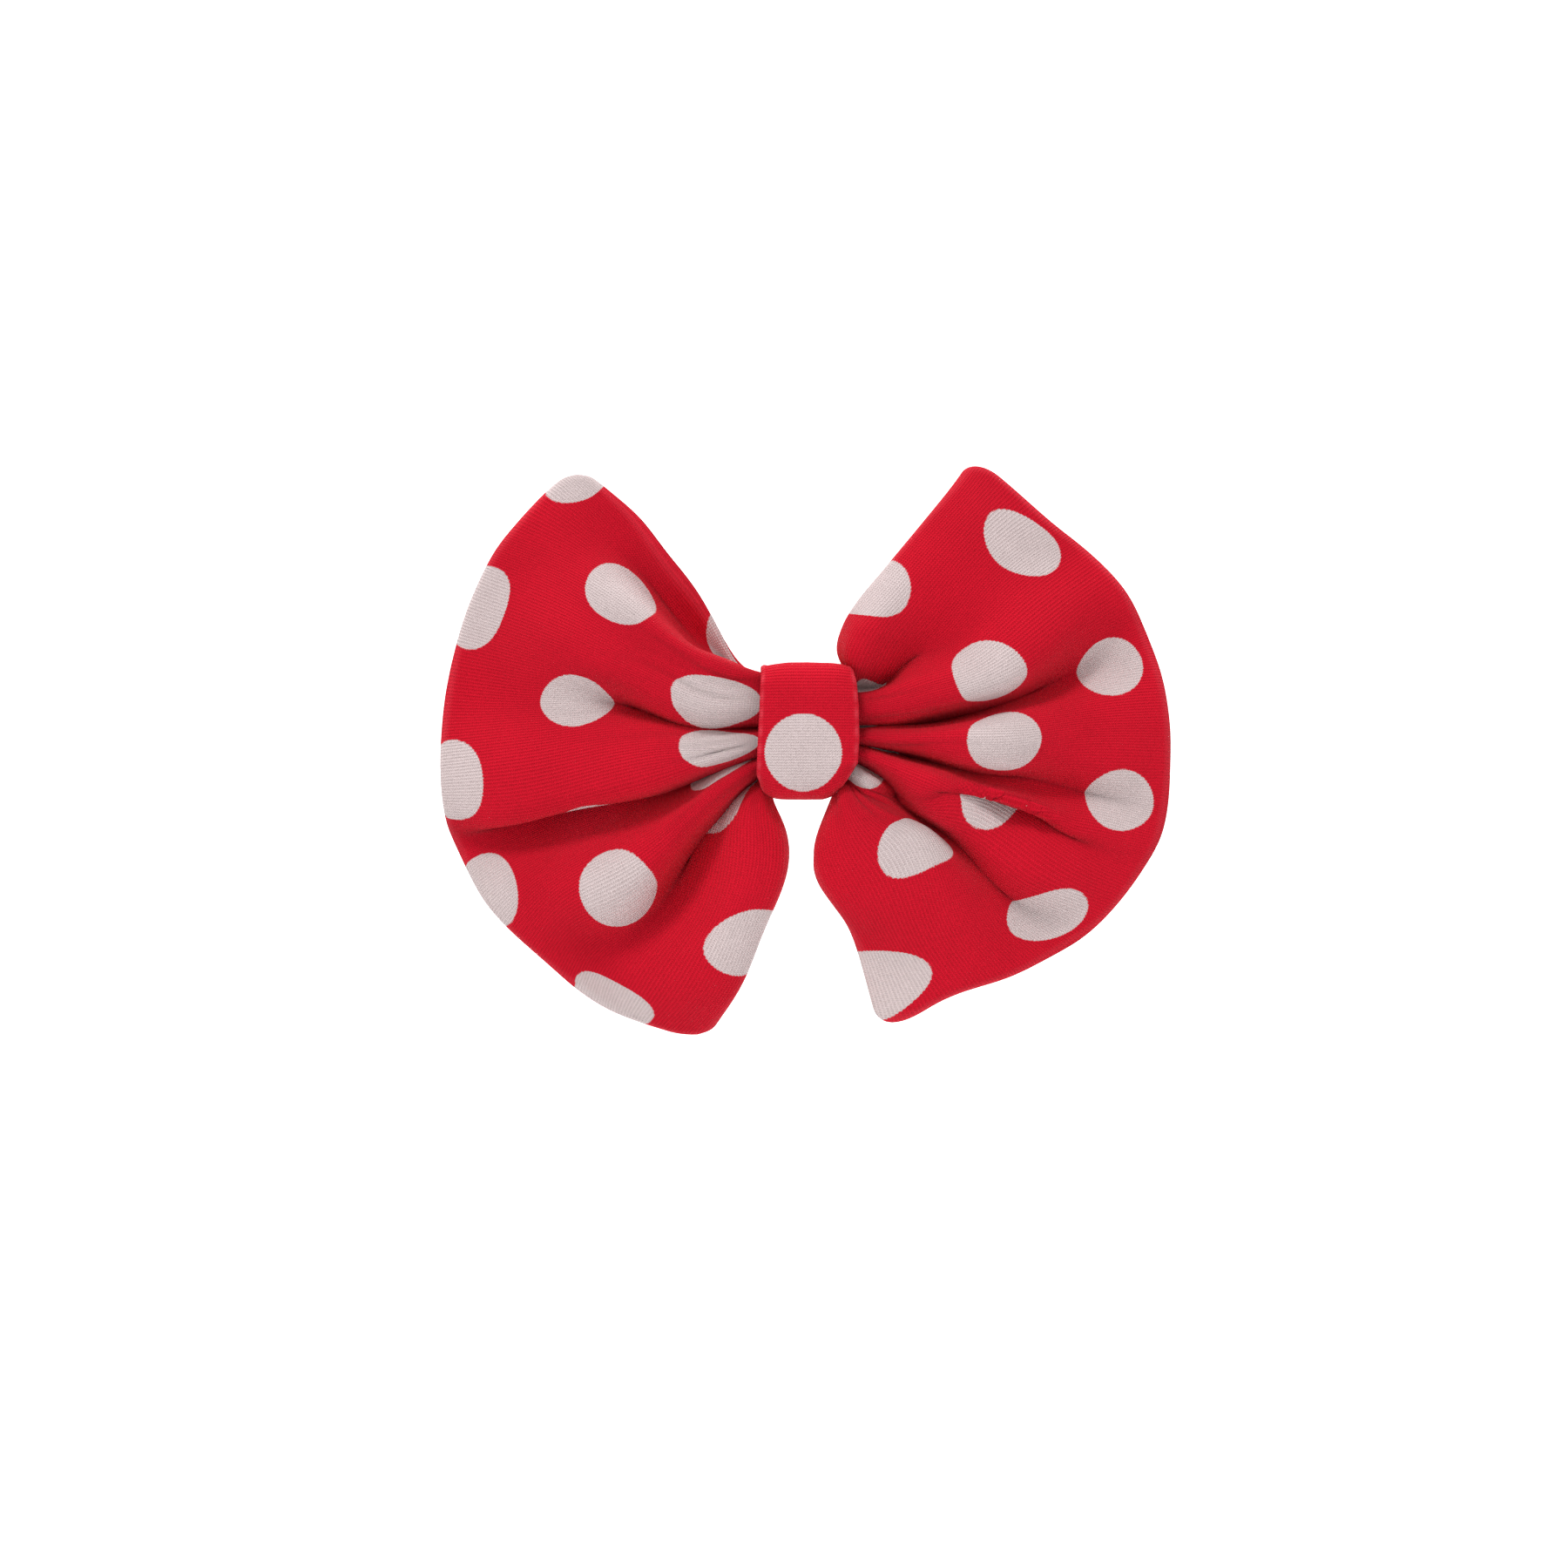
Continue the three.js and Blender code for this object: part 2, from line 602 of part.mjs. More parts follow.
const clip = new THREE.Group();
addMesh(clip, 'clip_leaf', clipLeaf(), nickel);
addMesh(clip, 'clip_jaw', clipJaw(), nickel);
addMesh(clip, 'clip_pin', clipPin(), nickel).position.set(pivotX, pivotY, 0);
addMesh(clip, 'clip_spring', clipSpring(), nickel).position.set(pivotX, pivotY, 0);
bow.add(clip);

export default bow;
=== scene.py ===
import math

import bmesh
import bpy
import numpy as np
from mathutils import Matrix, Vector
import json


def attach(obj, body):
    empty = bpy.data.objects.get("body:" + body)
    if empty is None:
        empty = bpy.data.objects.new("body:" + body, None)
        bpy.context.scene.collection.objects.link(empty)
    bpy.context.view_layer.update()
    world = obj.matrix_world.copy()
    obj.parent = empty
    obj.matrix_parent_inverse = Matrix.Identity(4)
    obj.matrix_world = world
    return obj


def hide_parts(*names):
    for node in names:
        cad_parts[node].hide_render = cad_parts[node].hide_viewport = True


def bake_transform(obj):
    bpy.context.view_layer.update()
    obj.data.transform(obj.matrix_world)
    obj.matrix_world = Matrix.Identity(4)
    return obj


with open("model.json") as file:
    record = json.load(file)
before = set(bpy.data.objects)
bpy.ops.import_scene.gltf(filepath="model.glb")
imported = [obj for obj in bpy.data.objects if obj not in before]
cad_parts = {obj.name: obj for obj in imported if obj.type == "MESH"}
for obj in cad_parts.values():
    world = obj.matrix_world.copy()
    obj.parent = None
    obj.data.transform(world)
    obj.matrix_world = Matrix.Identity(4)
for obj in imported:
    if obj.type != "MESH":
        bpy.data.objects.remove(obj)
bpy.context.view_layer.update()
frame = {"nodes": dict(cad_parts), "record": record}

MM = 0.001  # the script works in millimetres, and the scene in metres


# ---------------------------------------------------------------- shader writing


class Wire:
    """One output socket, so that an expression on it adds the Math nodes."""

    def __init__(self, graph, socket):
        self.graph, self.socket = graph, socket

    def __add__(self, other):
        return self.graph.math("ADD", self, other)

    def __sub__(self, other):
        return self.graph.math("SUBTRACT", self, other)

    def __rsub__(self, other):
        return self.graph.math("SUBTRACT", other, self)

    def __mul__(self, other):
        return self.graph.math("MULTIPLY", self, other)

    def __truediv__(self, other):
        return self.graph.math("DIVIDE", self, other)

    def __rtruediv__(self, other):
        return self.graph.math("DIVIDE", other, self)

    __radd__ = __add__
    __rmul__ = __mul__


class Graph:
    """A new material whose surface is one Principled shader."""

    def __init__(self, name):
        self.material = bpy.data.materials.new(name)
        self.material.use_nodes = True
        self.nodes = self.material.node_tree.nodes
        self.links = self.material.node_tree.links
        self.shader = self.nodes["Principled BSDF"]

    def put(self, socket, value):
        if isinstance(value, Wire):
            self.links.new(value.socket, socket)
        else:
            socket.default_value = value

    def node(self, kind, settings=None, values=None, output=0):
        made = self.nodes.new("ShaderNode" + kind)
        for key, setting in (settings or {}).items():
            setattr(made, key, setting)
        for key, value in (values or {}).items():
            self.put(made.inputs[key], value)
        return Wire(self, made.outputs[output])

    def math(self, operation, *values):
        return self.node("Math", {"operation": operation}, dict(enumerate(values)))

    def sine(self, value):
        return self.math("SINE", value)

    def step(self, value, low, high):
        settings = {"interpolation_type": "SMOOTHSTEP"}
        return self.node("MapRange", settings, {"Value": value, "From Min": low, "From Max": high})

    def mix(self, share, a, b):
        """Two colours mixed. The colour sockets of a Mix node are the inputs 6 and 7 and the output 2."""
        values = {"Factor": share, 6: a, 7: b}
        return self.node("Mix", {"data_type": "RGBA"}, values, output=2)

    def noise(self, place, scale, detail=2.0):
        return self.node("TexNoise", None, {"Vector": place, "Scale": scale, "Detail": detail})

    def place(self):
        """Object coordinates, in metres."""
        return self.node("TexCoord", output=3)

    def parts(self, vector):
        """A vector's three numbers."""
        split = self.node("SeparateXYZ", None, {"Vector": vector})
        return [Wire(self, socket) for socket in split.socket.node.outputs]

    def shade(self, **values):
        for name, value in values.items():
            self.put(self.shader.inputs[name.replace("_", " ")], value)

    def bump(self, height, relief, strength=1.0):
        """A bumped normal, for a height from 0 to 1 and its relief in millimetres."""
        values = {"Strength": strength, "Distance": relief * MM, "Height": height}
        return self.node("Bump", None, values)


# ---------------------------------------------------------------- finishes

DOT_RADIUS = 6.0
DOT_COLUMN = 21.3  # from one column of dots to the next
DOT_PITCH = 24.0  # from dot to dot down a column
DOT_FIRST = 9.0  # from the bow's middle to the first column
DOT_FADE = 0.09  # half the width over which a dot's edge fades
COURSE = 0.44  # from one row of knit loops to the next
WALE = 0.38  # from one column of loops to the next
LOOP_LEAN = 0.32  # how far a loop's V runs down, in courses
KNIT_RELIEF = 0.16
RED = (0.73, 0.0062, 0.0265, 1)
# painted shade in the knit's grooves on the red, mixed with the cloth's random tone
RED_SHADE_AND_TONE = (0.54, 0.004, 0.017, 1)
# a painted highlight on the red along the turned and folded edges
RED_EDGE_HIGHLIGHT = (0.80, 0.055, 0.085, 1)
WHITE = (0.80, 0.665, 0.66, 1)
# painted shade in the knit's grooves on the dots, mixed with the cloth's random tone
WHITE_SHADE_AND_TONE = (0.62, 0.50, 0.495, 1)
SHEEN_PINK = (1.0, 0.7, 0.7, 1)
FLAT_UNIT = 100.0  # the flat map holds millimetres divided by this


def flat_places(graph):
    """The cloth's flat map, and its places in millimetres: along the courses, and across them."""
    flat = graph.node("UVMap", {"uv_map": "flat"})
    along, across, _ = graph.parts(flat)
    return flat, along * FLAT_UNIT, across * FLAT_UNIT


def knit_height(graph, along, across):
    """Rows of small V loops: 0 in the grooves and 1 on the loops."""
    vee = graph.math("PINGPONG", along, WALE / 2) / (WALE / 2)
    row = graph.sine((across / COURSE + vee * LOOP_LEAN) * (2 * math.pi))
    column = graph.sine(along * (2 * math.pi / WALE))
    return row * 0.36 + column * 0.14 + 0.5


def dot_mask(graph, along, across, ragged):
    """1 inside the printed dots, which stand in columns, every other column half a pitch down."""
    place = (along - DOT_FIRST) / DOT_COLUMN
    column = graph.math("ROUND", place)
    odd = graph.math("FLOORED_MODULO", column, 2.0)
    down = across / DOT_PITCH + (1 - odd) * 0.5
    off_along = (place - column) * DOT_COLUMN
    off_down = (down - graph.math("ROUND", down)) * DOT_PITCH
    radius = graph.math("SQRT", off_along * off_along + off_down * off_down)
    return graph.step(radius + ragged, DOT_RADIUS + DOT_FADE, DOT_RADIUS - DOT_FADE)


def dotted_jersey():
    """Fine cotton jersey printed with round dots, seen loop by loop, with painted shade in the knit's
    grooves and a painted highlight along the turned edges.
    """
    graph = Graph("dotted_jersey")
    flat, along, across = flat_places(graph)
    knit = knit_height(graph, along, across)
    fine = graph.noise(flat, 260.0, 3.0)
    broad = graph.noise(flat, 14.0)
    ragged = (knit - 0.5) * 0.16 + (fine - 0.5) * 0.25
    dots = dot_mask(graph, along, across, ragged)
    # painted shade: darker in the knit's grooves, and varied at random as the cloth's own tone
    loop_light_and_tone = graph.step(knit * 0.5 + fine * 0.55 + broad * 0.25, 0.35, 0.85)
    # painted highlight along the edges, carried as a mesh attribute
    painted_edge_light = graph.node("Attribute", {"attribute_name": "edge_highlight"}, output=2)
    red = graph.mix(painted_edge_light * (0.55 + fine * 0.5), graph.mix(loop_light_and_tone, RED_SHADE_AND_TONE, RED), RED_EDGE_HIGHLIGHT)
    white = graph.mix(loop_light_and_tone, WHITE_SHADE_AND_TONE, WHITE)
    graph.shade(
        Base_Color=graph.mix(dots, red, white),
        Roughness=0.80 + fine * 0.16,
        Normal=graph.bump(knit + fine * 0.5, KNIT_RELIEF),
        Sheen_Weight=0.06,
        Sheen_Roughness=0.4,
        Sheen_Tint=SHEEN_PINK,
        Specular_IOR_Level=0.12,
    )
    return graph.material


FELT_PALE = (0.84, 0.82, 0.78, 1)
FELT_DEEP = (0.70, 0.67, 0.62, 1)


def interlining_felt():
    """Pressed short fibres, a little cloudy."""
    graph = Graph("interlining_felt")
    place = graph.place()
    fibres = graph.noise(place, 2600.0, 4.0)
    clouds = graph.noise(place, 220.0)
    tone = graph.step(fibres * 0.6 + clouds * 0.4, 0.3, 0.7)
    graph.shade(
        Base_Color=graph.mix(tone, FELT_DEEP, FELT_PALE),
        Roughness=0.9,
        Normal=graph.bump(fibres, 0.08),
        Sheen_Weight=0.3,
    )
    return graph.material


THREAD_RED = (0.56, 0.008, 0.024, 1)
# painted shade between the thread's plies, mixed with random tone
THREAD_SHADE_AND_TONE = (0.30, 0.004, 0.012, 1)
TWIST = 0.32  # from ply to ply along the thread


def sewing_thread():
    """Twisted thread: slanting plies along its own length, with painted shade between the plies."""
    graph = Graph("sewing_thread")
    place = graph.place()
    x, y, z = graph.parts(place)
    plies = graph.sine((x + y + z) * (2 * math.pi / (TWIST * MM))) * 0.5 + 0.5
    fuzz = graph.noise(place, 3000.0)
    graph.shade(
        # painted shade: darker between the plies, and varied at random with the fuzz
        Base_Color=graph.mix(plies * 0.7 + fuzz * 0.3, THREAD_SHADE_AND_TONE, THREAD_RED),
        Roughness=0.5 + fuzz * 0.2,
        Normal=graph.bump(plies, 0.05),
        Sheen_Weight=0.2,
    )
    return graph.material


NICKEL = (0.54, 0.53, 0.515, 1)
NICKEL_DULL = (0.42, 0.41, 0.395, 1)
ROLLED = (0.06, 1.0, 1.0)  # draws a pattern out along the strip


def nickel_plate():
    """Bright plate over pressed steel, with faint rolling lines, smudges and fine scratches."""
    graph = Graph("nickel_plate")
    place = graph.place()
    drawn = graph.node("Mapping", None, {"Vector": place, "Scale": ROLLED})
    lines = graph.noise(drawn, 5200.0, 3.0)
    smudge = graph.step(graph.noise(place, 130.0, 3.0), 0.35, 0.7)
    scratch = graph.step(graph.noise(drawn, 1700.0, 1.0), 0.60, 0.68)
    graph.shade(
        Base_Color=graph.mix(smudge, NICKEL_DULL, NICKEL),
        Metallic=1.0,
        Roughness=0.17 + smudge * 0.12 + lines * 0.08 + scratch * 0.12,
        Normal=graph.bump(lines * 0.6 - scratch * 0.5, 0.012, 0.6),
    )
    return graph.material


WIRE_PALE = (0.56, 0.555, 0.54, 1)
WIRE_DARK = (0.34, 0.335, 0.33, 1)


def spring_wire():
    """Drawn steel wire with a slightly dark skin."""
    graph = Graph("spring_wire")
    place = graph.place()
    grain = graph.noise(place, 2400.0, 3.0)
    stain = graph.noise(place, 420.0)
    graph.shade(
        Base_Color=graph.mix(stain, WIRE_DARK, WIRE_PALE),
        Metallic=1.0,
        Roughness=0.28 + grain * 0.16,
        Normal=graph.bump(grain, 0.01, 0.5),
    )
    return graph.material


# ---------------------------------------------------------------- cloth surface, from its folds

# The gathered cloth is drawn over its own flat cut: along runs across the bow from the waist,
# and across runs up it. Each fold line has one place for each station: out from the knot's
# middle, up, and how far back it lies, from 0 on the ridges to 1 in the creases.
LEFT_STATIONS = np.array([8.0, 14.0, 20.0, 30.0, 42.0, 57.0])
RIGHT_STATIONS = np.array([8.0, 14.0, 20.0, 30.0, 42.0, 60.0])
RIDGE_Y = np.array([-10.2, -12.0, -12.8, -12.6, -11.0, -8.6])
CREASE_Y = np.array([-2.8, -2.6, -3.0, -3.6, -4.0, -4.8])
LINES = np.array([49.5, 43, 37, 30, 24, 18, 12, 6, 0, -6, -12, -18, -24, -30, -36, -42, -48, -55, -62])
LEFT_END, RIGHT_END = -LEFT_STATIONS[-1], RIGHT_STATIONS[-1]
BOTTOM_END, TOP_END = LINES[-1], LINES[0]
STATIONS = np.concatenate([-LEFT_STATIONS[::-1], RIGHT_STATIONS])
LEFT_WING = [
    [(8.5, 8.6, 1), (12.9, 14.2, .95), (16.2, 20.6, .85),
     (21.6, 28.2, .6), (28.2, 35.4, .4), (35.8, 41.4, .4)],
    [(8.4, 8.2, 1), (13.2, 10.4, 1), (17.6, 13.2, 1),
     (24.2, 21, .9), (31.8, 30.6, .4), (40.4, 38, .3)],
    [(8.4, 9, .2), (13.9, 11, .1), (18.6, 13.5, .1),
     (26, 19.4, .15), (34.9, 26.4, .15), (46.2, 31.6, .2)],
    [(8.6, 7.6, 0), (15, 8.8, 0), (20.8, 11.2, 0),
     (28.6, 15.8, .05), (38.6, 21.4, .1), (50, 26.2, .1)],
    [(9.2, 4.4, 0), (16.6, 5, 0), (22.8, 7.6, 0),
     (31.3, 11.6, 0), (41.8, 16, .05), (53, 20, .05)],
    [(9.4, 1.7, .3), (16.4, 1.8, .3), (22.8, 4.2, .25),
     (32, 8.2, .12), (42.8, 10.6, .15), (55.2, 13.4, .15)],
    [(9.4, .6, 1), (16.2, .6, 1), (22.6, 2.6, .9),
     (32.6, 4.8, .32), (43.6, 4.8, .35), (56.8, 5.6, .25)],
    [(9.4, -.5, .3), (16, -.4, .3), (22.4, .4, .3),
     (32.4, 1, .15), (43.8, -.6, .15), (57.4, -1.6, .1)],
    [(9.3, -1.9, 0), (15.6, -2.7, 0), (21.8, -3, 0),
     (32.2, -4.4, 0), (43.8, -6.8, 0), (57.4, -8, 0)],
    [(9.1, -3.4, .05), (15, -5, .05), (21.4, -6.8, .1),
     (31.8, -9.8, .2), (43.2, -12.6, .2), (56.8, -13.4, .1)],
    [(8.8, -3.9, .5), (14.4, -5.6, .5), (20.8, -7.5, .8),
     (31, -9.2, 1), (42.8, -12.2, .8), (55.8, -16.6, .5)],
    [(8.6, -4, 1), (14.2, -5.9, 1), (20.4, -8, 1),
     (30.6, -10.6, 1), (42.2, -14.8, .85), (53.8, -21, .65)],
    [(8.6, -4.5, .6), (14.2, -6.7, .5), (19.8, -9.6, .6),
     (29.6, -14.4, .65), (40.8, -19.4, .4), (50.8, -26, .3)],
    [(8.5, -5.3, .1), (14, -8.2, .08), (19.4, -12.2, .12),
     (28.4, -18.2, .25), (38.8, -23.2, .12), (46.8, -30.6, .1)],
    [(8.4, -6.3, .2), (13.6, -10.2, .15), (18.6, -15, .15),
     (26.8, -23, .15), (36, -28, .1), (42, -35.2, .1)],
    [(8.2, -7.2, .75), (13.2, -11.9, .9), (17.6, -16.6, .95),
     (24.4, -26.2, .75), (32.2, -32.4, .55), (36.8, -39.8, .15)],
    [(8, -8, .9), (13, -12.7, 1), (16.2, -17.8, .95),
     (20.4, -28, .75), (27, -36, .5), (31, -43.6, .1)],
    [(7.6, -9, .3), (9.6, -13.4, .2), (9.8, -19.4, .1),
     (12.8, -29.4, 0), (17.6, -38.6, 0), (24, -46.2, .1)],
    [(5.6, -9.6, .7), (3.6, -14.4, .5), (3, -20.4, .35),
     (6, -29.8, .3), (10.6, -39.4, .3), (16, -48.9, .4)],
]
RIGHT_WING = [
    [(6.5, 8.8, .8), (5, 12.4, .75), (5.7, 16, .6),
     (8.8, 21.8, .45), (17.6, 31.8, .35), (26, 43.4, .4)],
    [(7.2, 8.2, .4), (7.8, 10.6, .15), (9.4, 14.2, .05),
     (13.8, 19.4, .05), (22, 28.6, .1), (31.6, 38.8, .2)],
    [(8, 6.9, .9), (12.2, 7.4, .9), (14.6, 11, .6),
     (19.4, 15.6, .35), (26.8, 24.4, .15), (38, 33.2, .1)],
    [(8.2, 5.6, .3), (13.4, 6.4, .3), (17.4, 8.6, .3),
     (24.6, 12.4, .25), (32.4, 19.8, .1), (43.8, 28.6, .1)],
    [(8.3, 3.6, 0), (14.2, 4.4, 0), (19.6, 5.8, 0),
     (28.2, 8.4, 0), (37, 14.8, 0), (49, 23.2, 0)],
    [(8.4, 1.6, .3), (14.2, 2, .3), (19.8, 3, .3),
     (29, 6, .3), (38.6, 11.2, .55), (52.4, 17.8, .5)],
    [(8.5, .6, 1), (14.4, .7, 1), (20.2, 1.5, 1),
     (30, 4, .9), (39.8, 7.8, .9), (54.8, 12, .5)],
    [(8.5, 0, .3), (14.4, -.1, .3), (20.4, .2, .3),
     (30.4, 1.6, .25), (40.4, 4, .2), (56.2, 6.2, .15)],
    [(8.5, -.9, 0), (14.4, -1.2, 0), (20.4, -1.4, 0),
     (30.6, -1.4, 0), (40.8, -.4, 0), (57, .2, 0)],
    [(8.5, -1.6, .3), (14.4, -2.6, .3), (20.4, -3.6, .3),
     (30.4, -4.6, .25), (40.8, -4.8, .2), (57, -6, .1)],
    [(8.5, -2.1, 1), (14.4, -3.6, 1), (20.4, -5.1, 1),
     (30.4, -7.2, .6), (40.6, -9.2, .7), (56.6, -12.2, .3)],
    [(8.4, -2.7, .3), (14.2, -4.5, .3), (20, -6.7, .2),
     (30.4, -11, 0), (39.6, -14, .12), (55.2, -17.2, .1)],
    [(8.3, -3.8, 0), (13.8, -6.2, 0), (19.2, -8.8, 0),
     (28.8, -8.9, .7), (38, -14.7, .5), (52.6, -21.8, 0)],
    [(8, -4.8, .6), (12.8, -7.7, .75), (17.8, -10.8, .3),
     (25.8, -14.9, .15), (34.6, -20.8, .1), (48.8, -27.2, .15)],
    [(6.6, -5.6, .15), (10, -8, .2), (15.8, -11.6, .85),
     (23.2, -16.6, .8), (30.6, -24, .75), (43.2, -32.4, .4)],
    [(6.6, -7, .1), (9.6, -9.6, .15), (14.4, -12.6, .4),
     (20.6, -17, .4), (26.6, -26, .4), (37, -36, .35)],
    [(6.4, -8, .2), (7.8, -10.6, .1), (11.6, -13, .1),
     (17.4, -15.6, .1), (22.2, -26.6, .05), (30.4, -38.8, .2)],
    [(5, -8.6, .2), (5.8, -10, .1), (6, -14.6, 0),
     (10.2, -22.2, 0), (14.4, -30.8, 0), (21.4, -42, .1)],
    [(3.6, -8.6, .7), (5, -9.4, .6), (1.5, -17.2, .35),
     (3.4, -25.6, .3), (6.8, -31.6, .3), (11.8, -48.6, .4)],
]
CORNER = 5.0  # radius of the cut's corners
GRID = 0.8  # between places of the cloth's grid, in the flat
WAIST = 8.0  # half the length of cloth that the knot hides
GATHER = 0.16  # height of the small gathers beside the knot
GATHER_RISE = 4.0  # from the knot to where the gathers have their full height
GATHER_FADE = 13.0  # how far out they die away
SLACK = 0.8  # height of the broad slack waves
SLACK_RISE = 10.0
TIGHT_FROM, TIGHT_TO = 0.08, 0.4  # turn over one grid step where a fold starts to be, and is, too tight
TIGHT_SPREAD = 3  # grid steps round a tight fold that open with it
TIGHT_FADE = 0.8  # of the opening, from step to step
RELAXING = 16  # rounds of opening the tight folds
RELAX_SHARE = 0.8


def spline_matrix(knots, at):
    """Weights that carry values at the knots to a smooth curve (a natural cubic) at other places."""
    n = len(knots)
    gap = np.diff(knots)
    left, right = np.zeros((n, n)), np.zeros((n, n))
    left[0, 0] = left[-1, -1] = 1
    for i in range(1, n - 1):
        left[i, i - 1 : i + 2] = gap[i - 1], 2 * (gap[i - 1] + gap[i]), gap[i]
        right[i, i - 1 : i + 2] = 6 / gap[i - 1], -6 / gap[i - 1] - 6 / gap[i], 6 / gap[i]
    bend = np.linalg.solve(left, right)
    i = np.clip(np.searchsorted(knots, at) - 1, 0, n - 2)
    h, a = gap[i], knots[i + 1] - at
    b = at - knots[i]
    rows = np.arange(len(at))
    weights = np.zeros((len(at), n))
    weights[rows, i] += a / h
    weights[rows, i + 1] += b / h
    weights += ((a**3 / h - a * h) / 6)[:, None] * bend[i]
    weights += ((b**3 / h - b * h) / 6)[:, None] * bend[i + 1]
    return weights


def fold_net():
    """The fold lines' places in millimetres, as (line, station, xyz), from left rim to right."""
    left, right = np.array(LEFT_WING, float), np.array(RIGHT_WING, float)
    wings = []
    for side, wing in ((-1, left), (1, right)):
        depth = RIDGE_Y + (CREASE_Y - RIDGE_Y) * wing[..., 2]
        wings.append(np.stack([side * wing[..., 0], depth, wing[..., 1]], axis=-1))
    net = np.concatenate([wings[0][:, ::-1], wings[1]], axis=1)
    return net[::-1]


def rounded_corners(along, across):
    """Moves the square grid's corners onto arcs, and leaves the rest of it."""
    for end_a in (LEFT_END, RIGHT_END):
        for end_b in (BOTTOM_END, TOP_END):
            a = 1 - np.abs(along - end_a) / CORNER
            b = 1 - np.abs(across - end_b) / CORNER
            inside = (a > 0) & (b > 0)
            a = np.where(inside, a, 0)
            b = np.where(inside, b, 0)
            along = along + np.sign(end_a) * (a * np.sqrt(1 - b * b / 2) - a) * CORNER
            across = across + np.sign(end_b) * (b * np.sqrt(1 - a * a / 2) - b) * CORNER
    return along, across


def grid_steps(low, high):
    return np.linspace(low, high, int(round((high - low) / GRID)) + 1)


def small_gathers(along, across):
    """Fine creases that spread from the knot and fade out in the wing, and broad slack waves."""
    out = np.abs(along) - WAIST
    fade = np.clip(out / GATHER_RISE, 0, 1) * np.exp(-np.maximum(out, 0) / GATHER_FADE)
    sway = across + 0.9 * np.sin(along * 0.21 + across * 0.11)
    ripple = np.sin(sway * 1.15 + 0.6) + 0.6 * np.sin(sway * 2.05 - along * 0.05 + 2.0)
    slack = np.sin(along * 0.17 + across * 0.06) * np.sin(across * 0.15 - along * 0.08 + 1.0)
    return GATHER * ripple * fade + SLACK * slack * np.clip(out / SLACK_RISE, 0, 1)


def folded_places(along, across):
    """Where flat places of the cloth lie once it is folded."""
    down = spline_matrix(STATIONS, along)
    up = spline_matrix(LINES[::-1], across)
    return np.einsum("nl,lsc,ns->nc", up, fold_net(), down)


def middle_surface():
    """The folded cloth's middle, on a grid of the flat cut: places, and their flat coordinates."""
    along, across = grid_steps(LEFT_END, RIGHT_END), grid_steps(BOTTOM_END, TOP_END)
    flat_a, flat_b = rounded_corners(*np.meshgrid(along, across, indexing="ij"))
    places = folded_places(flat_a.ravel(), flat_b.ravel()).reshape(flat_a.shape + (3,))
    places = places + surface_normals(places) * small_gathers(flat_a, flat_b)[..., None]
    return relaxed(places), flat_a, flat_b


def neighbours(grid, **padding):
    """Each place's four neighbours in a grid, which is padded by one place all round."""
    rim = ((1, 1), (1, 1)) + ((0, 0),) * (grid.ndim - 2)
    wide = np.pad(grid, rim, **padding)
    return wide[:-2, 1:-1], wide[2:, 1:-1], wide[1:-1, :-2], wide[1:-1, 2:]


def sharpest_turn(places):
    """How far the cloth turns from each place to the next: 0 is flat and 1 a right angle."""
    normals = surface_normals(places)
    turn = np.zeros(places.shape[:2])
    for axis in (0, 1):
        bent = 1 - np.sum(normals * np.roll(normals, -1, axis=axis), axis=-1)
        np.moveaxis(bent, axis, 0)[-1] = 0
        turn = np.maximum(turn, np.maximum(bent, np.roll(bent, 1, axis=axis)))
    for _ in range(TIGHT_SPREAD):
        turn = np.maximum(turn, np.max(neighbours(turn, mode="edge"), axis=0) * TIGHT_FADE)
    return turn


def relaxed(places):
    """Opens the folds that are tighter than the cloth can turn, and leaves the rest."""
    for _ in range(RELAXING):
        share = np.clip((sharpest_turn(places) - TIGHT_FROM) / (TIGHT_TO - TIGHT_FROM), 0, 1)
        mean = sum(neighbours(places, mode="reflect", reflect_type="odd")) / 4
        places = places + (mean - places) * share[..., None] * RELAX_SHARE
    return places


def surface_normals(places):
    """Unit normals of a grid of places, towards the bow's front."""
    normal = np.cross(np.gradient(places, axis=0), np.gradient(places, axis=1))
    return normal / np.maximum(np.linalg.norm(normal, axis=-1, keepdims=True), 1e-9)


def from_edge(flat_a, flat_b):
    """How far each place lies in from the cut's edge, in the flat."""
    a = np.minimum(flat_a - LEFT_END, RIGHT_END - flat_a)
    b = np.minimum(TOP_END - flat_b, flat_b - BOTTOM_END)
    corner_a, corner_b = np.maximum(CORNER - a, 0), np.maximum(CORNER - b, 0)
    in_corner = (corner_a > 0) & (corner_b > 0)
    arc = CORNER - np.hypot(corner_a, corner_b)
    return np.maximum(np.where(in_corner, arc, np.minimum(a, b)), 0)


# ---------------------------------------------------------------- cloth pieces


def hump(value, middle, width):
    """A smooth bump of height 1 about one value."""
    return np.exp(-(((value - middle) / width) ** 2))


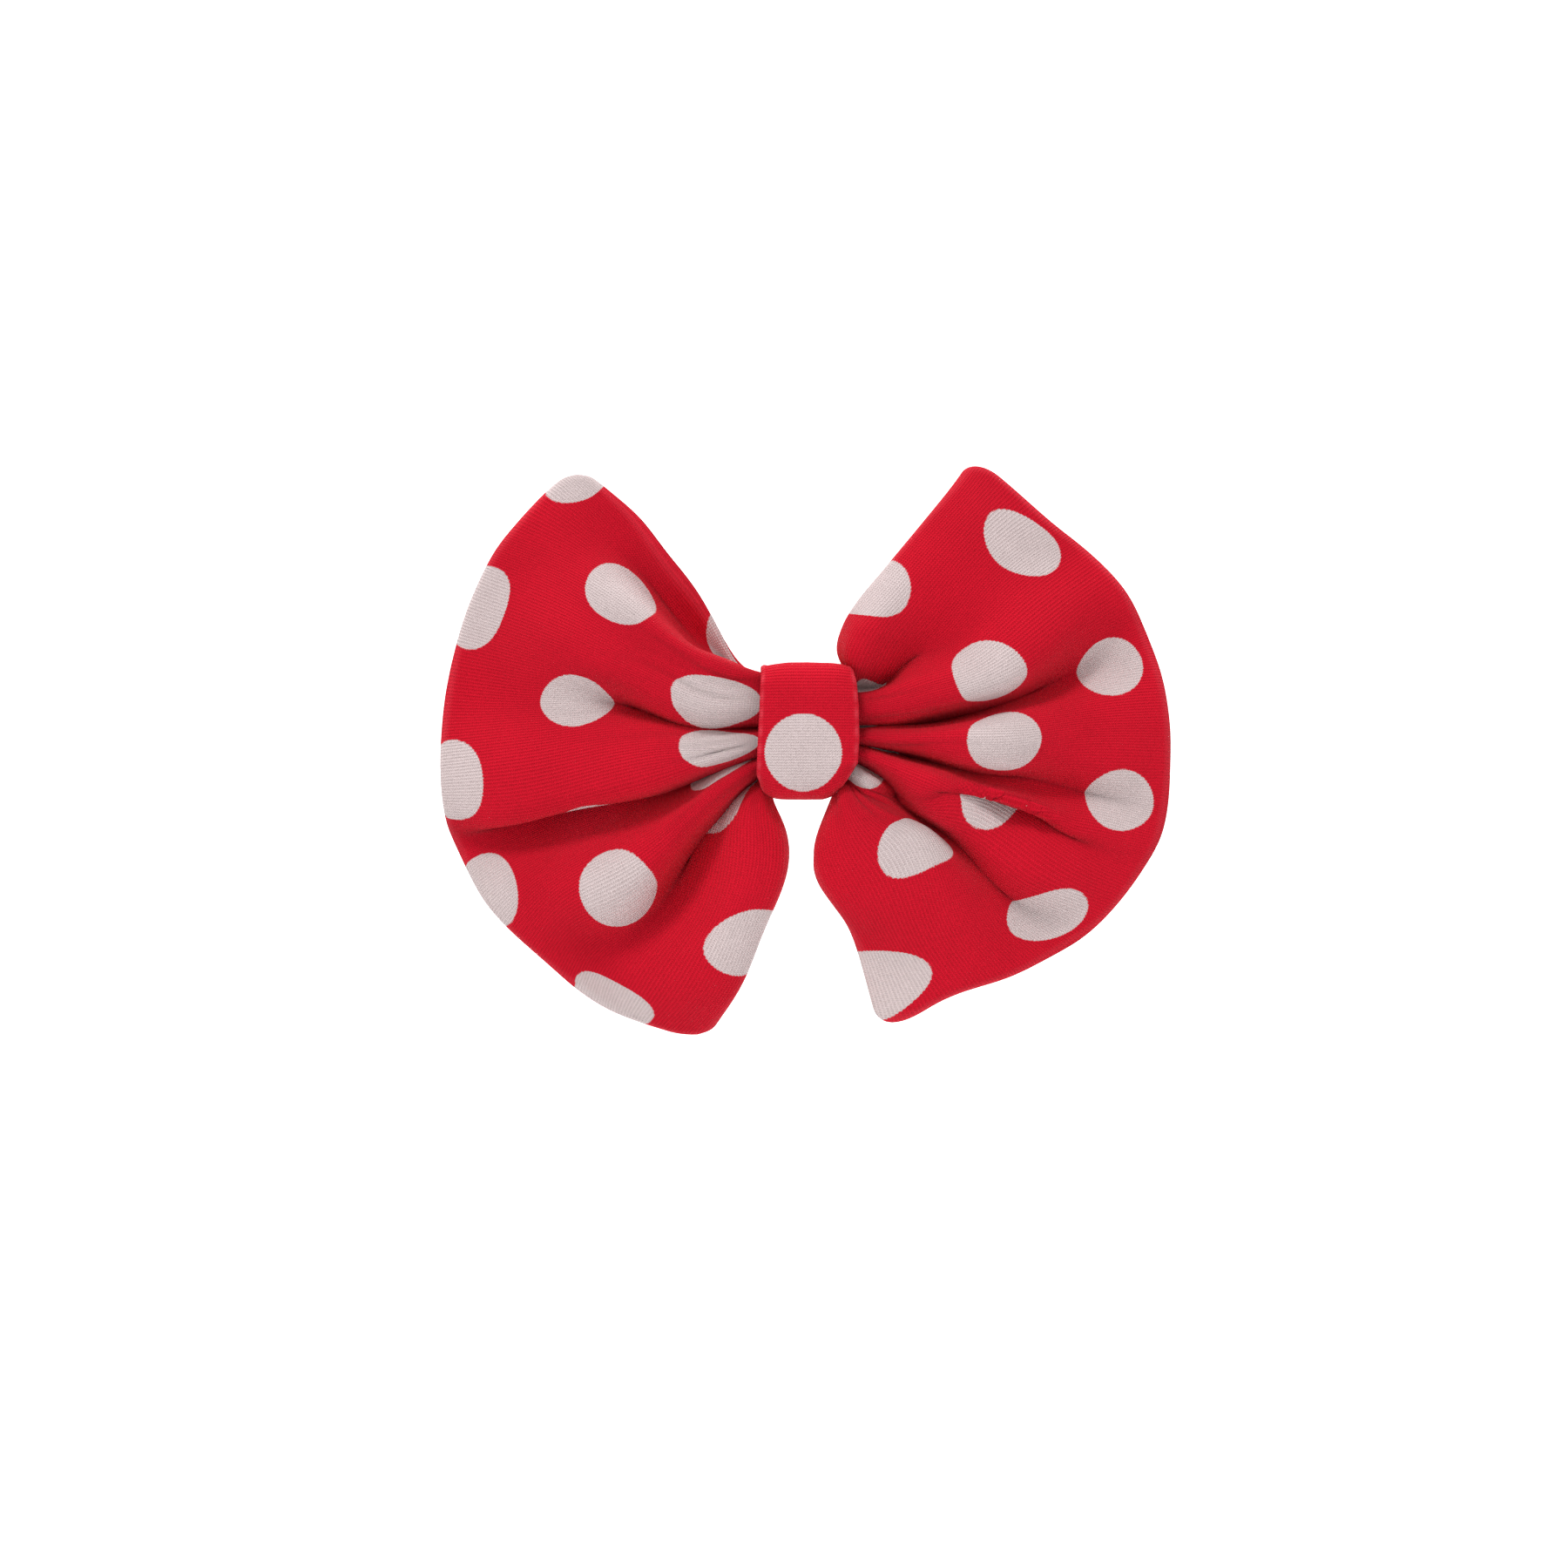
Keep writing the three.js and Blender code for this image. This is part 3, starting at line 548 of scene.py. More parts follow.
def new_object(name, vertices, faces, material, flat=None, edge_highlight=None):
    """A mesh piece at the origin, from places in millimetres, with its flat map and its painted edge
    highlight.
    """
    mesh = bpy.data.meshes.new(name)
    mesh.from_pydata((np.asarray(vertices) * MM).tolist(), [], [tuple(f) for f in faces])
    if flat is not None:
        layer = mesh.uv_layers.new(name="flat")
        loops = np.empty(len(mesh.loops), dtype=np.int32)
        mesh.loops.foreach_get("vertex_index", loops)
        layer.data.foreach_set("uv", (np.asarray(flat)[loops] / FLAT_UNIT).ravel())
    if edge_highlight is not None:
        mesh.attributes.new("edge_highlight", "FLOAT", "POINT").data.foreach_set("value", np.asarray(edge_highlight))
    mesh.polygons.foreach_set("use_smooth", [True] * len(mesh.polygons))
    mesh.materials.append(material)
    made = bpy.data.objects.new(name, mesh)
    bpy.context.scene.collection.objects.link(made)
    return made


def grid_faces(rows, columns, start, flip):
    faces = []
    for i in range(rows - 1):
        for j in range(columns - 1):
            a = start + i * columns + j
            quad = (a, a + columns, a + columns + 1, a + 1)
            faces.append(quad[::-1] if flip else quad)
    return faces


def rim_indices(rows, columns):
    """The grid's border, in order, once round."""
    bottom = [i * columns for i in range(rows)]
    right = [(rows - 1) * columns + j for j in range(1, columns)]
    top = [i * columns + columns - 1 for i in range(rows - 2, -1, -1)]
    left = list(range(columns - 2, 0, -1))
    return bottom + right + top + left


def closed_sheet(name, outer, inner, flat, material, flip, edge_highlight=None):
    """A thin closed cloth: an outer grid, an inner one, and the strip that joins their rims.

    The faces point outwards as they are made: flip is set where the outer grid lies at the back.
    """
    rows, columns = outer.shape[:2]
    count = rows * columns
    faces = grid_faces(rows, columns, 0, flip) + grid_faces(rows, columns, count, not flip)
    rim = rim_indices(rows, columns)
    for a, b in zip(rim, rim[1:] + rim[:1]):
        quad = (a, count + a, count + b, b)
        faces.append(quad[::-1] if flip else quad)
    places = np.concatenate([outer.reshape(-1, 3), inner.reshape(-1, 3)])
    painted_edge_light = None if edge_highlight is None else np.concatenate([edge_highlight, edge_highlight])
    return new_object(name, places, faces, material, np.concatenate([flat, flat]), painted_edge_light)


CLOTH = 0.45  # thickness of the jersey
INNER_LEAST = 0.03  # from the wing's middle to a panel's inner face, where it is pinched
PUFF = 1.05  # half the thickness of a wing
WAIST_PUFF = 0.6  # half the thickness under the knot
PUFF_RISE = 14.0  # from the knot to where a wing has its full thickness
RIM_HALF = 0.08  # half the thickness right at the edge
EDGE_ROUND = 1.8  # how far in from the edge the wing reaches its full thickness
FOLD_SHARE = 0.6  # of a fold's own radius that the wing's half thickness may take
PINCHED = 0.3  # half thickness in the tightest folds
OPEN = 9.0  # stands for all the room there is, where the cloth lies open
ROOM_SPREAD = 3  # grid steps round a tight fold where the wing is still thin
RIM_HIGHLIGHT, RIM_HIGHLIGHT_AT, RIM_HIGHLIGHT_WIDTH = 0.35, 0.7, 0.55  # the painted highlight line just inside the edge
BACK_PRINT = (7.0, 5.0)  # how far the back panel's print is shifted from the front's
LINING_HALF = (55.0, 52.0)  # half the interlining's flat size
LINING_THIN = 0.05  # half its thickness
TINY = 1e-6  # keeps a division from a length of nothing


def fold_room(places, normals, flat_a, flat_b, side):
    """How thick the wing can be on one side before it fills the hollow of a tight fold."""
    tightest = np.zeros(places.shape[:2])
    for axis, flat in ((0, flat_a), (1, flat_b)):
        step = np.maximum(np.abs(np.gradient(flat, axis=axis))[..., None], TINY)
        slope = np.gradient(places, axis=axis) / step
        bend = np.gradient(slope, axis=axis) / step
        speed = np.maximum(np.linalg.norm(slope, axis=-1), TINY)
        tightest = np.maximum(tightest, side * np.sum(bend * normals, axis=-1) / speed**2)
    room = np.clip(FOLD_SHARE / np.maximum(tightest, TINY), PINCHED, OPEN)
    for _ in range(ROOM_SPREAD):
        room = np.minimum(room, sum(neighbours(room, mode="edge")) / 4)
    return room


def wing_layers():
    """The places, their normals, and how far out the cloth's faces lie on the front and back."""
    places, flat_a, flat_b = middle_surface()
    normals = surface_normals(places)
    share = np.clip((np.abs(flat_a) - WAIST) / PUFF_RISE, 0, 1)
    full = WAIST_PUFF + (PUFF - WAIST_PUFF) * share
    inward = np.clip(from_edge(flat_a, flat_b) / EDGE_ROUND, 0, 1)
    rounded = np.sqrt(np.maximum(1 - (1 - inward) ** 2, 0))
    halves = []
    for side in (1, -1):
        room = np.minimum(full, fold_room(places, normals, flat_a, flat_b, side))
        halves.append((RIM_HALF + (room - RIM_HALF) * rounded)[..., None])
    return places, normals, halves, flat_a, flat_b


def make_panels(material):
    """The front and back panels, as the two faces of one folded surface."""
    places, normals, halves, flat_a, flat_b = wing_layers()
    flat = np.stack([flat_a.ravel(), flat_b.ravel()], axis=1)
    # painted highlight along a line just inside the sewn edge
    edge_highlight = RIM_HIGHLIGHT * hump(from_edge(flat_a, flat_b).ravel(), RIM_HIGHLIGHT_AT, RIM_HIGHLIGHT_WIDTH)
    panels = []
    for name, side, half, shift in (
        ("front_panel_cloth", 1, halves[0], (0.0, 0.0)),
        ("back_panel_cloth", -1, halves[1], BACK_PRINT),
    ):
        outer = places + normals * half * side
        inner = places + normals * np.maximum(half - CLOTH, INNER_LEAST) * side
        panels.append(closed_sheet(name, outer, inner, flat + np.array(shift), material, side < 0, edge_highlight))
    return panels


def make_interlining(material):
    """The lining between the panels: the middle of the surface, short of the seam."""
    places, flat_a, flat_b = middle_surface()
    normals = surface_normals(places)
    rows = np.abs(flat_a[:, 0] - (LEFT_END + RIGHT_END) / 2) < LINING_HALF[0]
    columns = np.abs(flat_b[0] - (BOTTOM_END + TOP_END) / 2) < LINING_HALF[1]
    keep = np.ix_(rows, columns)
    flat = np.stack([flat_a[keep].ravel(), flat_b[keep].ravel()], axis=1)
    middle, off = places[keep], normals[keep] * LINING_THIN
    return closed_sheet("interlining_sheet", middle + off, middle - off, flat, material, False)


# ---------------------------------------------------------------- tubes and threads


def ring_frames(points):
    """Two unit vectors across the path at each point, carried along it without twist."""
    last = len(points) - 1
    frames = []
    across = None
    for i in range(len(points)):
        ahead = (Vector(points[min(i + 1, last)]) - Vector(points[max(i - 1, 0)])).normalized()
        if across is None:
            across = ahead.orthogonal().normalized()
        across = (across - ahead * across.dot(ahead)).normalized()
        frames.append((across.copy(), ahead.cross(across)))
    return frames


def tube(name, points, radius, sides, material):
    """A round wire or thread along points in millimetres, with flat ends."""
    vertices, faces = [], []
    for point, (a, b) in zip(points, ring_frames(points)):
        for k in range(sides):
            angle = 2 * math.pi * k / sides
            vertices.append(tuple(Vector(point) + (a * math.cos(angle) + b * math.sin(angle)) * radius))
    for i in range(len(points) - 1):
        ring, after = i * sides, (i + 1) * sides
        for k in range(sides):
            n = (k + 1) % sides
            faces.append((ring + n, after + n, after + k, ring + k))
    last = (len(points) - 1) * sides
    faces.append(list(range(sides)))
    faces.append(list(range(last, last + sides))[::-1])
    made = new_object(name, vertices, faces, material)
    outward(made)
    return made


def outward(made):
    """Turns every face of a closed piece outwards."""
    shape = bmesh.new()
    shape.from_mesh(made.data)
    bmesh.ops.recalc_face_normals(shape, faces=shape.faces)
    shape.to_mesh(made.data)
    shape.free()


def smooth_path(points, count):
    """A smooth run of places through a few, evenly along them."""
    points = np.asarray(points, float)
    along = np.concatenate([[0], np.cumsum(np.linalg.norm(np.diff(points, axis=0), axis=1))])
    return spline_matrix(along, np.linspace(0, along[-1], count)) @ points


# ---------------------------------------------------------------- knot band

# The strip's middle, as (y, z), from its hidden inner end on the back, up, over the top, down
# the front, under the waist and up to the outer end that laps the inner one.
BAND_PATH = [
    (-0.3, -8.4), (0.2, -6.8), (0.8, -4.9), (0.9, -2), (0.9, 2), (0.8, 4.9), (0.1, 7.4), (-0.5, 8.8),
    (-1.8, 9.7), (-5, 9.85), (-9.6, 9.8), (-11.7, 9.35), (-12.7, 7.8), (-13.05, 4.2), (-13.25, 0),
    (-13.3, -4), (-12.95, -7.4), (-11.9, -9.3), (-9.8, -10.15), (-6, -10.2), (-1.6, -10.2),
    (0.2, -9.75), (0.95, -8.6), (1.4, -7.2), (1.85, -5.9),
]
# Half widths at heights on the front, left and right of the middle, and the back's own.
BAND_HEIGHTS = np.array([-10.5, -8.0, -5.0, -1.0, 4.0, 8.0, 10.5])
BAND_LEFT = np.array([7.2, 7.9, 7.85, 7.65, 7.4, 7.25, 7.1])
BAND_RIGHT = np.array([5.6, 7.1, 7.9, 8.15, 8.05, 7.7, 6.9])
BAND_BACK = 7.3
BAND_ROWS, BAND_SIDES = 260, 56  # rings along the strip, and places round each
BAND_HALF = 0.62  # half the folded strip's thickness
BAND_DOT = (-0.6, -3.3)  # where one dot lands on the front
BAND_SQUARE = 0.42  # how square the strip's section is: 1 is an ellipse
CROWN = 0.45  # how far the front's middle stands out
CREASED = 0.25  # how far the front's folded edges lie back
ROLL = 0.16  # how far the strip's folded edges stand up
PUCKER = 0.09  # height of the small waves in the folded edges
RIPPLE = 0.05  # height of the waves over the whole strip


def band_section():
    """The strip's section, once round, in shares of its half width and half thickness."""
    angle = np.linspace(0, 2 * np.pi, BAND_SIDES, endpoint=False)
    u, v = np.cos(angle), np.sin(angle)
    return np.sign(u) * np.abs(u) ** BAND_SQUARE, np.sign(v) * np.abs(v) ** BAND_SQUARE


def band_reach(path, front, half_widths):
    """The strip's half width on one side, all along its path."""
    return BAND_BACK + (np.interp(path[:, 1], BAND_HEIGHTS, half_widths) - BAND_BACK) * front


def underside_lift(x, z):
    """How far the strip rises below the waist, more towards its two edges."""
    low = np.clip((-z - 5) / 5, 0, 1)
    right = 2.6 * np.clip((x - 1.5) / 6, 0, 1) ** 2
    left = 1.5 * np.clip((-x - 4.5) / 3.4, 0, 1) ** 2
    return low * (0.5 + right + left)


def band_faces():
    """The strip's skin and its two flat ends, each end as pairs of opposite places."""
    faces = []
    for i in range(BAND_ROWS - 1):
        ring, after = i * BAND_SIDES, (i + 1) * BAND_SIDES
        for k in range(BAND_SIDES):
            n = (k + 1) % BAND_SIDES
            faces.append((ring + k, ring + n, after + n, after + k))
    for ring in (0, (BAND_ROWS - 1) * BAND_SIDES):
        for k in range(BAND_SIDES // 2):
            across = (k, k + 1, BAND_SIDES - 1 - k, (BAND_SIDES - k) % BAND_SIDES)
            faces.append(tuple(dict.fromkeys(ring + corner for corner in across)))
    return faces


def make_band(material):
    """The folded strip round the waist, lapped on the back, with one dot on its front."""
    path = smooth_path(BAND_PATH, BAND_ROWS)
    ahead = np.gradient(path, axis=0)
    ahead /= np.linalg.norm(ahead, axis=1, keepdims=True)
    out = np.stack([ahead[:, 1], -ahead[:, 0]], axis=1)
    length = np.concatenate([[0], np.cumsum(np.linalg.norm(np.diff(path, axis=0), axis=1))])
    front = np.clip((-path[:, 0] - 5) / 5, 0, 1)
    left, right = [band_reach(path, front, half_widths) for half_widths in (BAND_LEFT, BAND_RIGHT)]
    off_dot = np.where(path[:, 0] < -11, np.abs(path[:, 1] - BAND_DOT[1]), np.inf)
    dot_length = length[np.argmin(off_dot)]
    u, v = band_section()
    vertices, flat, edge_highlight = [], [], []
    for i in range(BAND_ROWS):
        thin = min(1, 0.35 + min(length[i], length[-1] - length[i]) * 0.9)
        x = np.where(u < 0, u * left[i], u * right[i])
        off = v * (BAND_HALF * thin + ROLL * hump(np.abs(u), 0.93, 0.045))
        off += front[i] * (CROWN * (1 - u * u) - CREASED * np.abs(u) ** 6)
        off += PUCKER * np.sin(length[i] * 1.7 + u * 2.0) * np.abs(u) ** 3
        off += RIPPLE * np.sin(x * 0.9 + length[i] * 0.35)
        place = path[i] + out[i] * off[:, None]
        vertices.append(np.stack([x, place[:, 0], place[:, 1] + underside_lift(x, path[i, 1])], axis=1))
        # painted highlight along the strip's folded edges, uneven along them
        edge_highlight.append(hump(np.abs(u), 0.95, 0.035) * (0.6 + 0.4 * np.sin(length[i] * 2.3)))
        down = np.full(BAND_SIDES, dot_length - length[i] + DOT_PITCH / 2)
        flat.append(np.stack([x - BAND_DOT[0] + DOT_FIRST, down], axis=1))
    made = new_object(
        "knot_band_cloth", np.concatenate(vertices), band_faces(), material,
        np.concatenate(flat), np.concatenate(edge_highlight),
    )
    outward(made)
    return made


# ---------------------------------------------------------------- stitches


def stitch_tree(name, material):
    """Stitches set along a path, each a short thick capsule laid along it and slanted."""
    tree = bpy.data.node_groups.new(name, "GeometryNodeTree")
    sockets = tree.interface
    sockets.new_socket("Geometry", in_out="INPUT", socket_type="NodeSocketGeometry")
    for label in ("Spacing", "Length", "Thickness", "Slant"):
        sockets.new_socket(label, in_out="INPUT", socket_type="NodeSocketFloat")
    sockets.new_socket("Geometry", in_out="OUTPUT", socket_type="NodeSocketGeometry")

    def put(kind, settings=None, **values):
        node = tree.nodes.new(kind)
        for key, value in (settings or {}).items():
            setattr(node, key, value)
        for key, value in values.items():
            socket = node.inputs[key.replace("_", " ")]
            if isinstance(value, bpy.types.NodeSocket):
                tree.links.new(value, socket)
            else:
                socket.default_value = value
        return node

    given = put("NodeGroupInput").outputs
    path = put("GeometryNodeMeshToCurve", Mesh=given["Geometry"])
    even = put("GeometryNodeResampleCurve", {"mode": "LENGTH"}, Curve=path.outputs[0])
    tree.links.new(given["Spacing"], even.inputs["Length"])
    ahead = put("GeometryNodeInputTangent")
    facing = put("FunctionNodeAlignRotationToVector", {"axis": "Z"}, Vector=ahead.outputs[0])
    turn = put("ShaderNodeCombineXYZ", X=given["Slant"])
    slanted = put("FunctionNodeRotateRotation", {"rotation_space": "LOCAL"})
    tree.links.new(facing.outputs[0], slanted.inputs[0])
    tree.links.new(turn.outputs[0], slanted.inputs[1])
    ball = put("GeometryNodeMeshUVSphere", Segments=8, Rings=6, Radius=0.5)
    size = put("ShaderNodeCombineXYZ", X=given["Thickness"], Y=given["Thickness"], Z=given["Length"])
    sewn = put(
        "GeometryNodeInstanceOnPoints", Points=even.outputs[0], Instance=ball.outputs["Mesh"],
        Rotation=slanted.outputs[0], Scale=size.outputs[0],
    )
    real = put("GeometryNodeRealizeInstances", Geometry=sewn.outputs[0])
    done = put("GeometryNodeSetMaterial", Geometry=real.outputs[0], Material=material)
    out = put("NodeGroupOutput")
    tree.links.new(done.outputs[0], out.inputs["Geometry"])
    return tree


def stitches(name, points, material, closed, **sizes):
    """A row of stitches along points in millimetres, as one plain mesh, with sizes in metres."""
    mesh = bpy.data.meshes.new(name)
    count = len(points)
    edges = [(i, (i + 1) % count) for i in range(count if closed else count - 1)]
    mesh.from_pydata((np.asarray(points) * MM).tolist(), edges, [])
    path = bpy.data.objects.new(name + "_path", mesh)
    bpy.context.scene.collection.objects.link(path)
    tree = stitch_tree(name + "_tree", material)
    sewing = path.modifiers.new("sewing", "NODES")
    sewing.node_group = tree
    for item in tree.interface.items_tree:
        if item.name in sizes:
            sewing[item.identifier] = sizes[item.name]
    ready = path.evaluated_get(bpy.context.evaluated_depsgraph_get())
    sewn = bpy.data.meshes.new_from_object(ready)
    sewn.name = name
    sewn.polygons.foreach_set("use_smooth", [True] * len(sewn.polygons))
    made = bpy.data.objects.new(name, sewn)
    bpy.context.scene.collection.objects.link(made)
    bpy.data.objects.remove(path)
    bpy.data.node_groups.remove(tree)
    return made


SEAM_INSET = 1.1  # sewn edge to the machine seam
SEAM_ARC = 7  # places round each corner of the seam


def seam_route():
    """The seam's own outline in the flat: straight runs, and an arc at each corner."""
    middle_a, reach_a = (LEFT_END + RIGHT_END) / 2, (RIGHT_END - LEFT_END) / 2 - SEAM_INSET - CORNER
    middle_b, reach_b = (BOTTOM_END + TOP_END) / 2, (TOP_END - BOTTOM_END) / 2 - SEAM_INSET - CORNER
    route = []
    for turn, (side_a, side_b) in enumerate(((1, 1), (-1, 1), (-1, -1), (1, -1))):
        for k in range(SEAM_ARC):
            angle = (turn + k / (SEAM_ARC - 1)) * math.pi / 2
            a = middle_a + side_a * reach_a + CORNER * math.cos(angle)
            b = middle_b + side_b * reach_b + CORNER * math.sin(angle)
            route.append((a, b))
    return route


def make_edge_seam(material):
    """The machine seam between the panels, just inside their turned edge."""
    route = seam_route()
    dense = []
    for (a0, b0), (a1, b1) in zip(route, route[1:] + route[:1]):
        count = max(1, int(math.hypot(a1 - a0, b1 - b0)))
        dense += [(a0 + (a1 - a0) * k / count, b0 + (b1 - b0) * k / count) for k in range(count)]
    points = folded_places(*np.array(dense).T)
    return stitches("edge_seam_stitches", points, material, True, Spacing=2.1 * MM, Length=1.9 * MM,
                    Thickness=0.26 * MM, Slant=0.06)


BAND_SEAM = (1.95, -6.15)  # where the lap's hand stitches lie, back and up
BAND_SEAM_HALF = 6.6  # half their run


def make_band_seam(material):
    """Hand stitches that hold the band's outer end down on its back."""
    y, z = BAND_SEAM
    run = np.linspace(-BAND_SEAM_HALF, BAND_SEAM_HALF, 40)
    points = [(x, y + 0.12 * math.sin(x * 1.3), z) for x in run]
    return stitches("band_seam_stitches", points, material, False, Spacing=1.1 * MM, Length=2.1 * MM,
                    Thickness=0.34 * MM, Slant=1.05)


GATHER_TURNS = 4
GATHER_STEPS = 40  # places in each turn
GATHER_PITCH = 0.62  # from turn to turn
GATHER_THREAD, GATHER_SIDES = 0.27, 8  # the thread's radius, and the sides it is drawn with
GATHER_MIDDLE = -6.4  # the waist's middle, back to front
GATHER_HALF = (4.95, 8.75)  # half depth and half height of a turn
GATHER_SQUARE = 0.45  # how square a turn is: 1 is an ellipse


def make_gather_thread(material):
    """Thread wound round the gathered waist, under the band."""
    turns = []
    for i in range(GATHER_TURNS * GATHER_STEPS + 1):
        angle = 2 * math.pi * i / GATHER_STEPS
        c, d = math.cos(angle), math.sin(angle)
        x = (i / GATHER_STEPS - GATHER_TURNS / 2) * GATHER_PITCH
        y = GATHER_MIDDLE + GATHER_HALF[0] * math.copysign(abs(c) ** GATHER_SQUARE, c)
        z = GATHER_HALF[1] * math.copysign(abs(d) ** GATHER_SQUARE, d)
        turns.append((x, y, z))
    return tube("gather_thread_turns", turns, GATHER_THREAD, GATHER_SIDES, material)


# ---------------------------------------------------------------- clip


CUT_EDGE = 0.12  # radius of the pressed pieces' cut edges


def softened(name, node, material):
    """A copy of a pressed metal piece with its cut edges rounded."""
    mesh = frame["nodes"][node].data.copy()
    mesh.name = name
    shape = bmesh.new()
    shape.from_mesh(mesh)
    bmesh.ops.remove_doubles(shape, verts=shape.verts, dist=0.002 * MM)
    bmesh.ops.dissolve_limit(
        shape, angle_limit=math.radians(1), verts=shape.verts, edges=shape.edges, delimit={"NORMAL"}
    )
    sharp = [e for e in shape.edges if len(e.link_faces) == 2 and e.calc_face_angle() > math.radians(35)]
    bmesh.ops.bevel(
        shape, geom=sharp, offset=CUT_EDGE * MM, segments=3, affect="EDGES", profile=0.5,
        clamp_overlap=True, material=-1,
    )
    shape.to_mesh(mesh)
    shape.free()
    mesh.materials.clear()
    mesh.materials.append(material)
    mesh.polygons.foreach_set("use_smooth", [True] * len(mesh.polygons))
    made = bpy.data.objects.new(name, mesh)
    bpy.context.scene.collection.objects.link(made)
    firm = made.modifiers.new("firm", "WEIGHTED_NORMAL")
    firm.keep_sharp = True
    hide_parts(node)
    return made


COIL_RADIUS = 1.3
COIL_TURNS = 2.5
COIL_STEPS = 44  # places in each turn
COIL_HALF = 1.9  # half the coil's width along the pin
COIL_LEAD = 0.25  # angle past straight down where the coil takes up its first leg
WIRE_RADIUS, WIRE_SIDES = 0.3, 14
SPRING_RINGS = 260
LEAF_LEG = [(20.0, 0.6), (16.5, 0.62), (14.0, 0.75)]  # from its end to the coil, across and back
TAB_LEG = [(14.2, 4.0), (16.4, 5.0), (20.0, 6.95)]  # from the coil to its end under the tab


def make_spring(material, pin):
    """A coil round the pin, one leg flat on the leaf, the other under the jaw's tab."""
    points = [(x, y, -COIL_HALF) for x, y in LEAF_LEG]
    start = COIL_LEAD - math.pi / 2
    whole = COIL_TURNS * 2 * math.pi + COIL_LEAD
    count = int(COIL_TURNS * COIL_STEPS)
    for i in range(count + 1):
        angle = start - whole * i / count
        x, y = pin[0] + COIL_RADIUS * math.cos(angle), pin[1] + COIL_RADIUS * math.sin(angle)
        points.append((x, y, COIL_HALF * (2 * i / count - 1)))
    points += [(x, y, COIL_HALF) for x, y in TAB_LEG]
    route = smooth_path(points, SPRING_RINGS).tolist()
    return tube("spring_coil", route, WIRE_RADIUS, WIRE_SIDES, material)


# ---------------------------------------------------------------- stage, light and camera


SWEEP_FLOOR, SWEEP_BACK, SWEEP_BEND = -260.0, 1900.0, 900.0  # height, depth and radius
SWEEP_FRONT, SWEEP_TOP, SWEEP_HALF = -3000.0, 2600.0, 3000.0
SWEEP_STEPS = 12  # round the bend
PAPER = (0.88, 0.88, 0.88, 1)
PAPER_DIM = (0.84, 0.84, 0.84, 1)
GLOW_FULL = 0.9  # metres behind the bow where the paper's own glow is full


def sweep_paper():
    """Pale paper that glows behind the bow, so that the backdrop is even."""
    graph = Graph("sweep_paper")
    place = graph.place()
    _, depth, _ = graph.parts(place)
    glow = graph.mix(graph.step(depth, 0.0, GLOW_FULL), (0, 0, 0, 1), (1, 1, 1, 1))
    graph.shade(
        Base_Color=graph.mix(graph.noise(place, 30.0), PAPER_DIM, PAPER),
        Roughness=0.95,
        Emission_Color=glow,
        Emission_Strength=0.5,
    )
    return graph.material


def make_stage():
    """A pale sweep: a floor that curves up into a backdrop."""
    profile = [(SWEEP_FRONT, SWEEP_FLOOR), (SWEEP_BACK - SWEEP_BEND, SWEEP_FLOOR)]
    for i in range(1, SWEEP_STEPS + 1):
        angle = i / SWEEP_STEPS * math.pi / 2
        y = SWEEP_BACK - SWEEP_BEND + SWEEP_BEND * math.sin(angle)
        profile.append((y, SWEEP_FLOOR + SWEEP_BEND - SWEEP_BEND * math.cos(angle)))
    profile.append((SWEEP_BACK, SWEEP_TOP))
    vertices = [(x, y, z) for y, z in profile for x in (-SWEEP_HALF, SWEEP_HALF)]
    faces = [(2 * i, 2 * i + 1, 2 * i + 3, 2 * i + 2) for i in range(len(profile) - 1)]
    new_object("sweep", vertices, faces, sweep_paper())


def area_light(name, place, target, size, power):
    """A square light, with places and size in metres."""
    data = bpy.data.lights.new(name, "AREA")
    data.shape, data.size, data.energy = "SQUARE", size, power
    made = bpy.data.objects.new(name, data)
    made.location = place
    made.rotation_euler = (Vector(target) - Vector(place)).to_track_quat("-Z", "Y").to_euler()
    bpy.context.scene.collection.objects.link(made)


ROOM_LOW, ROOM_HIGH = 0.52, 0.80  # the room's brightness at the horizon and overhead


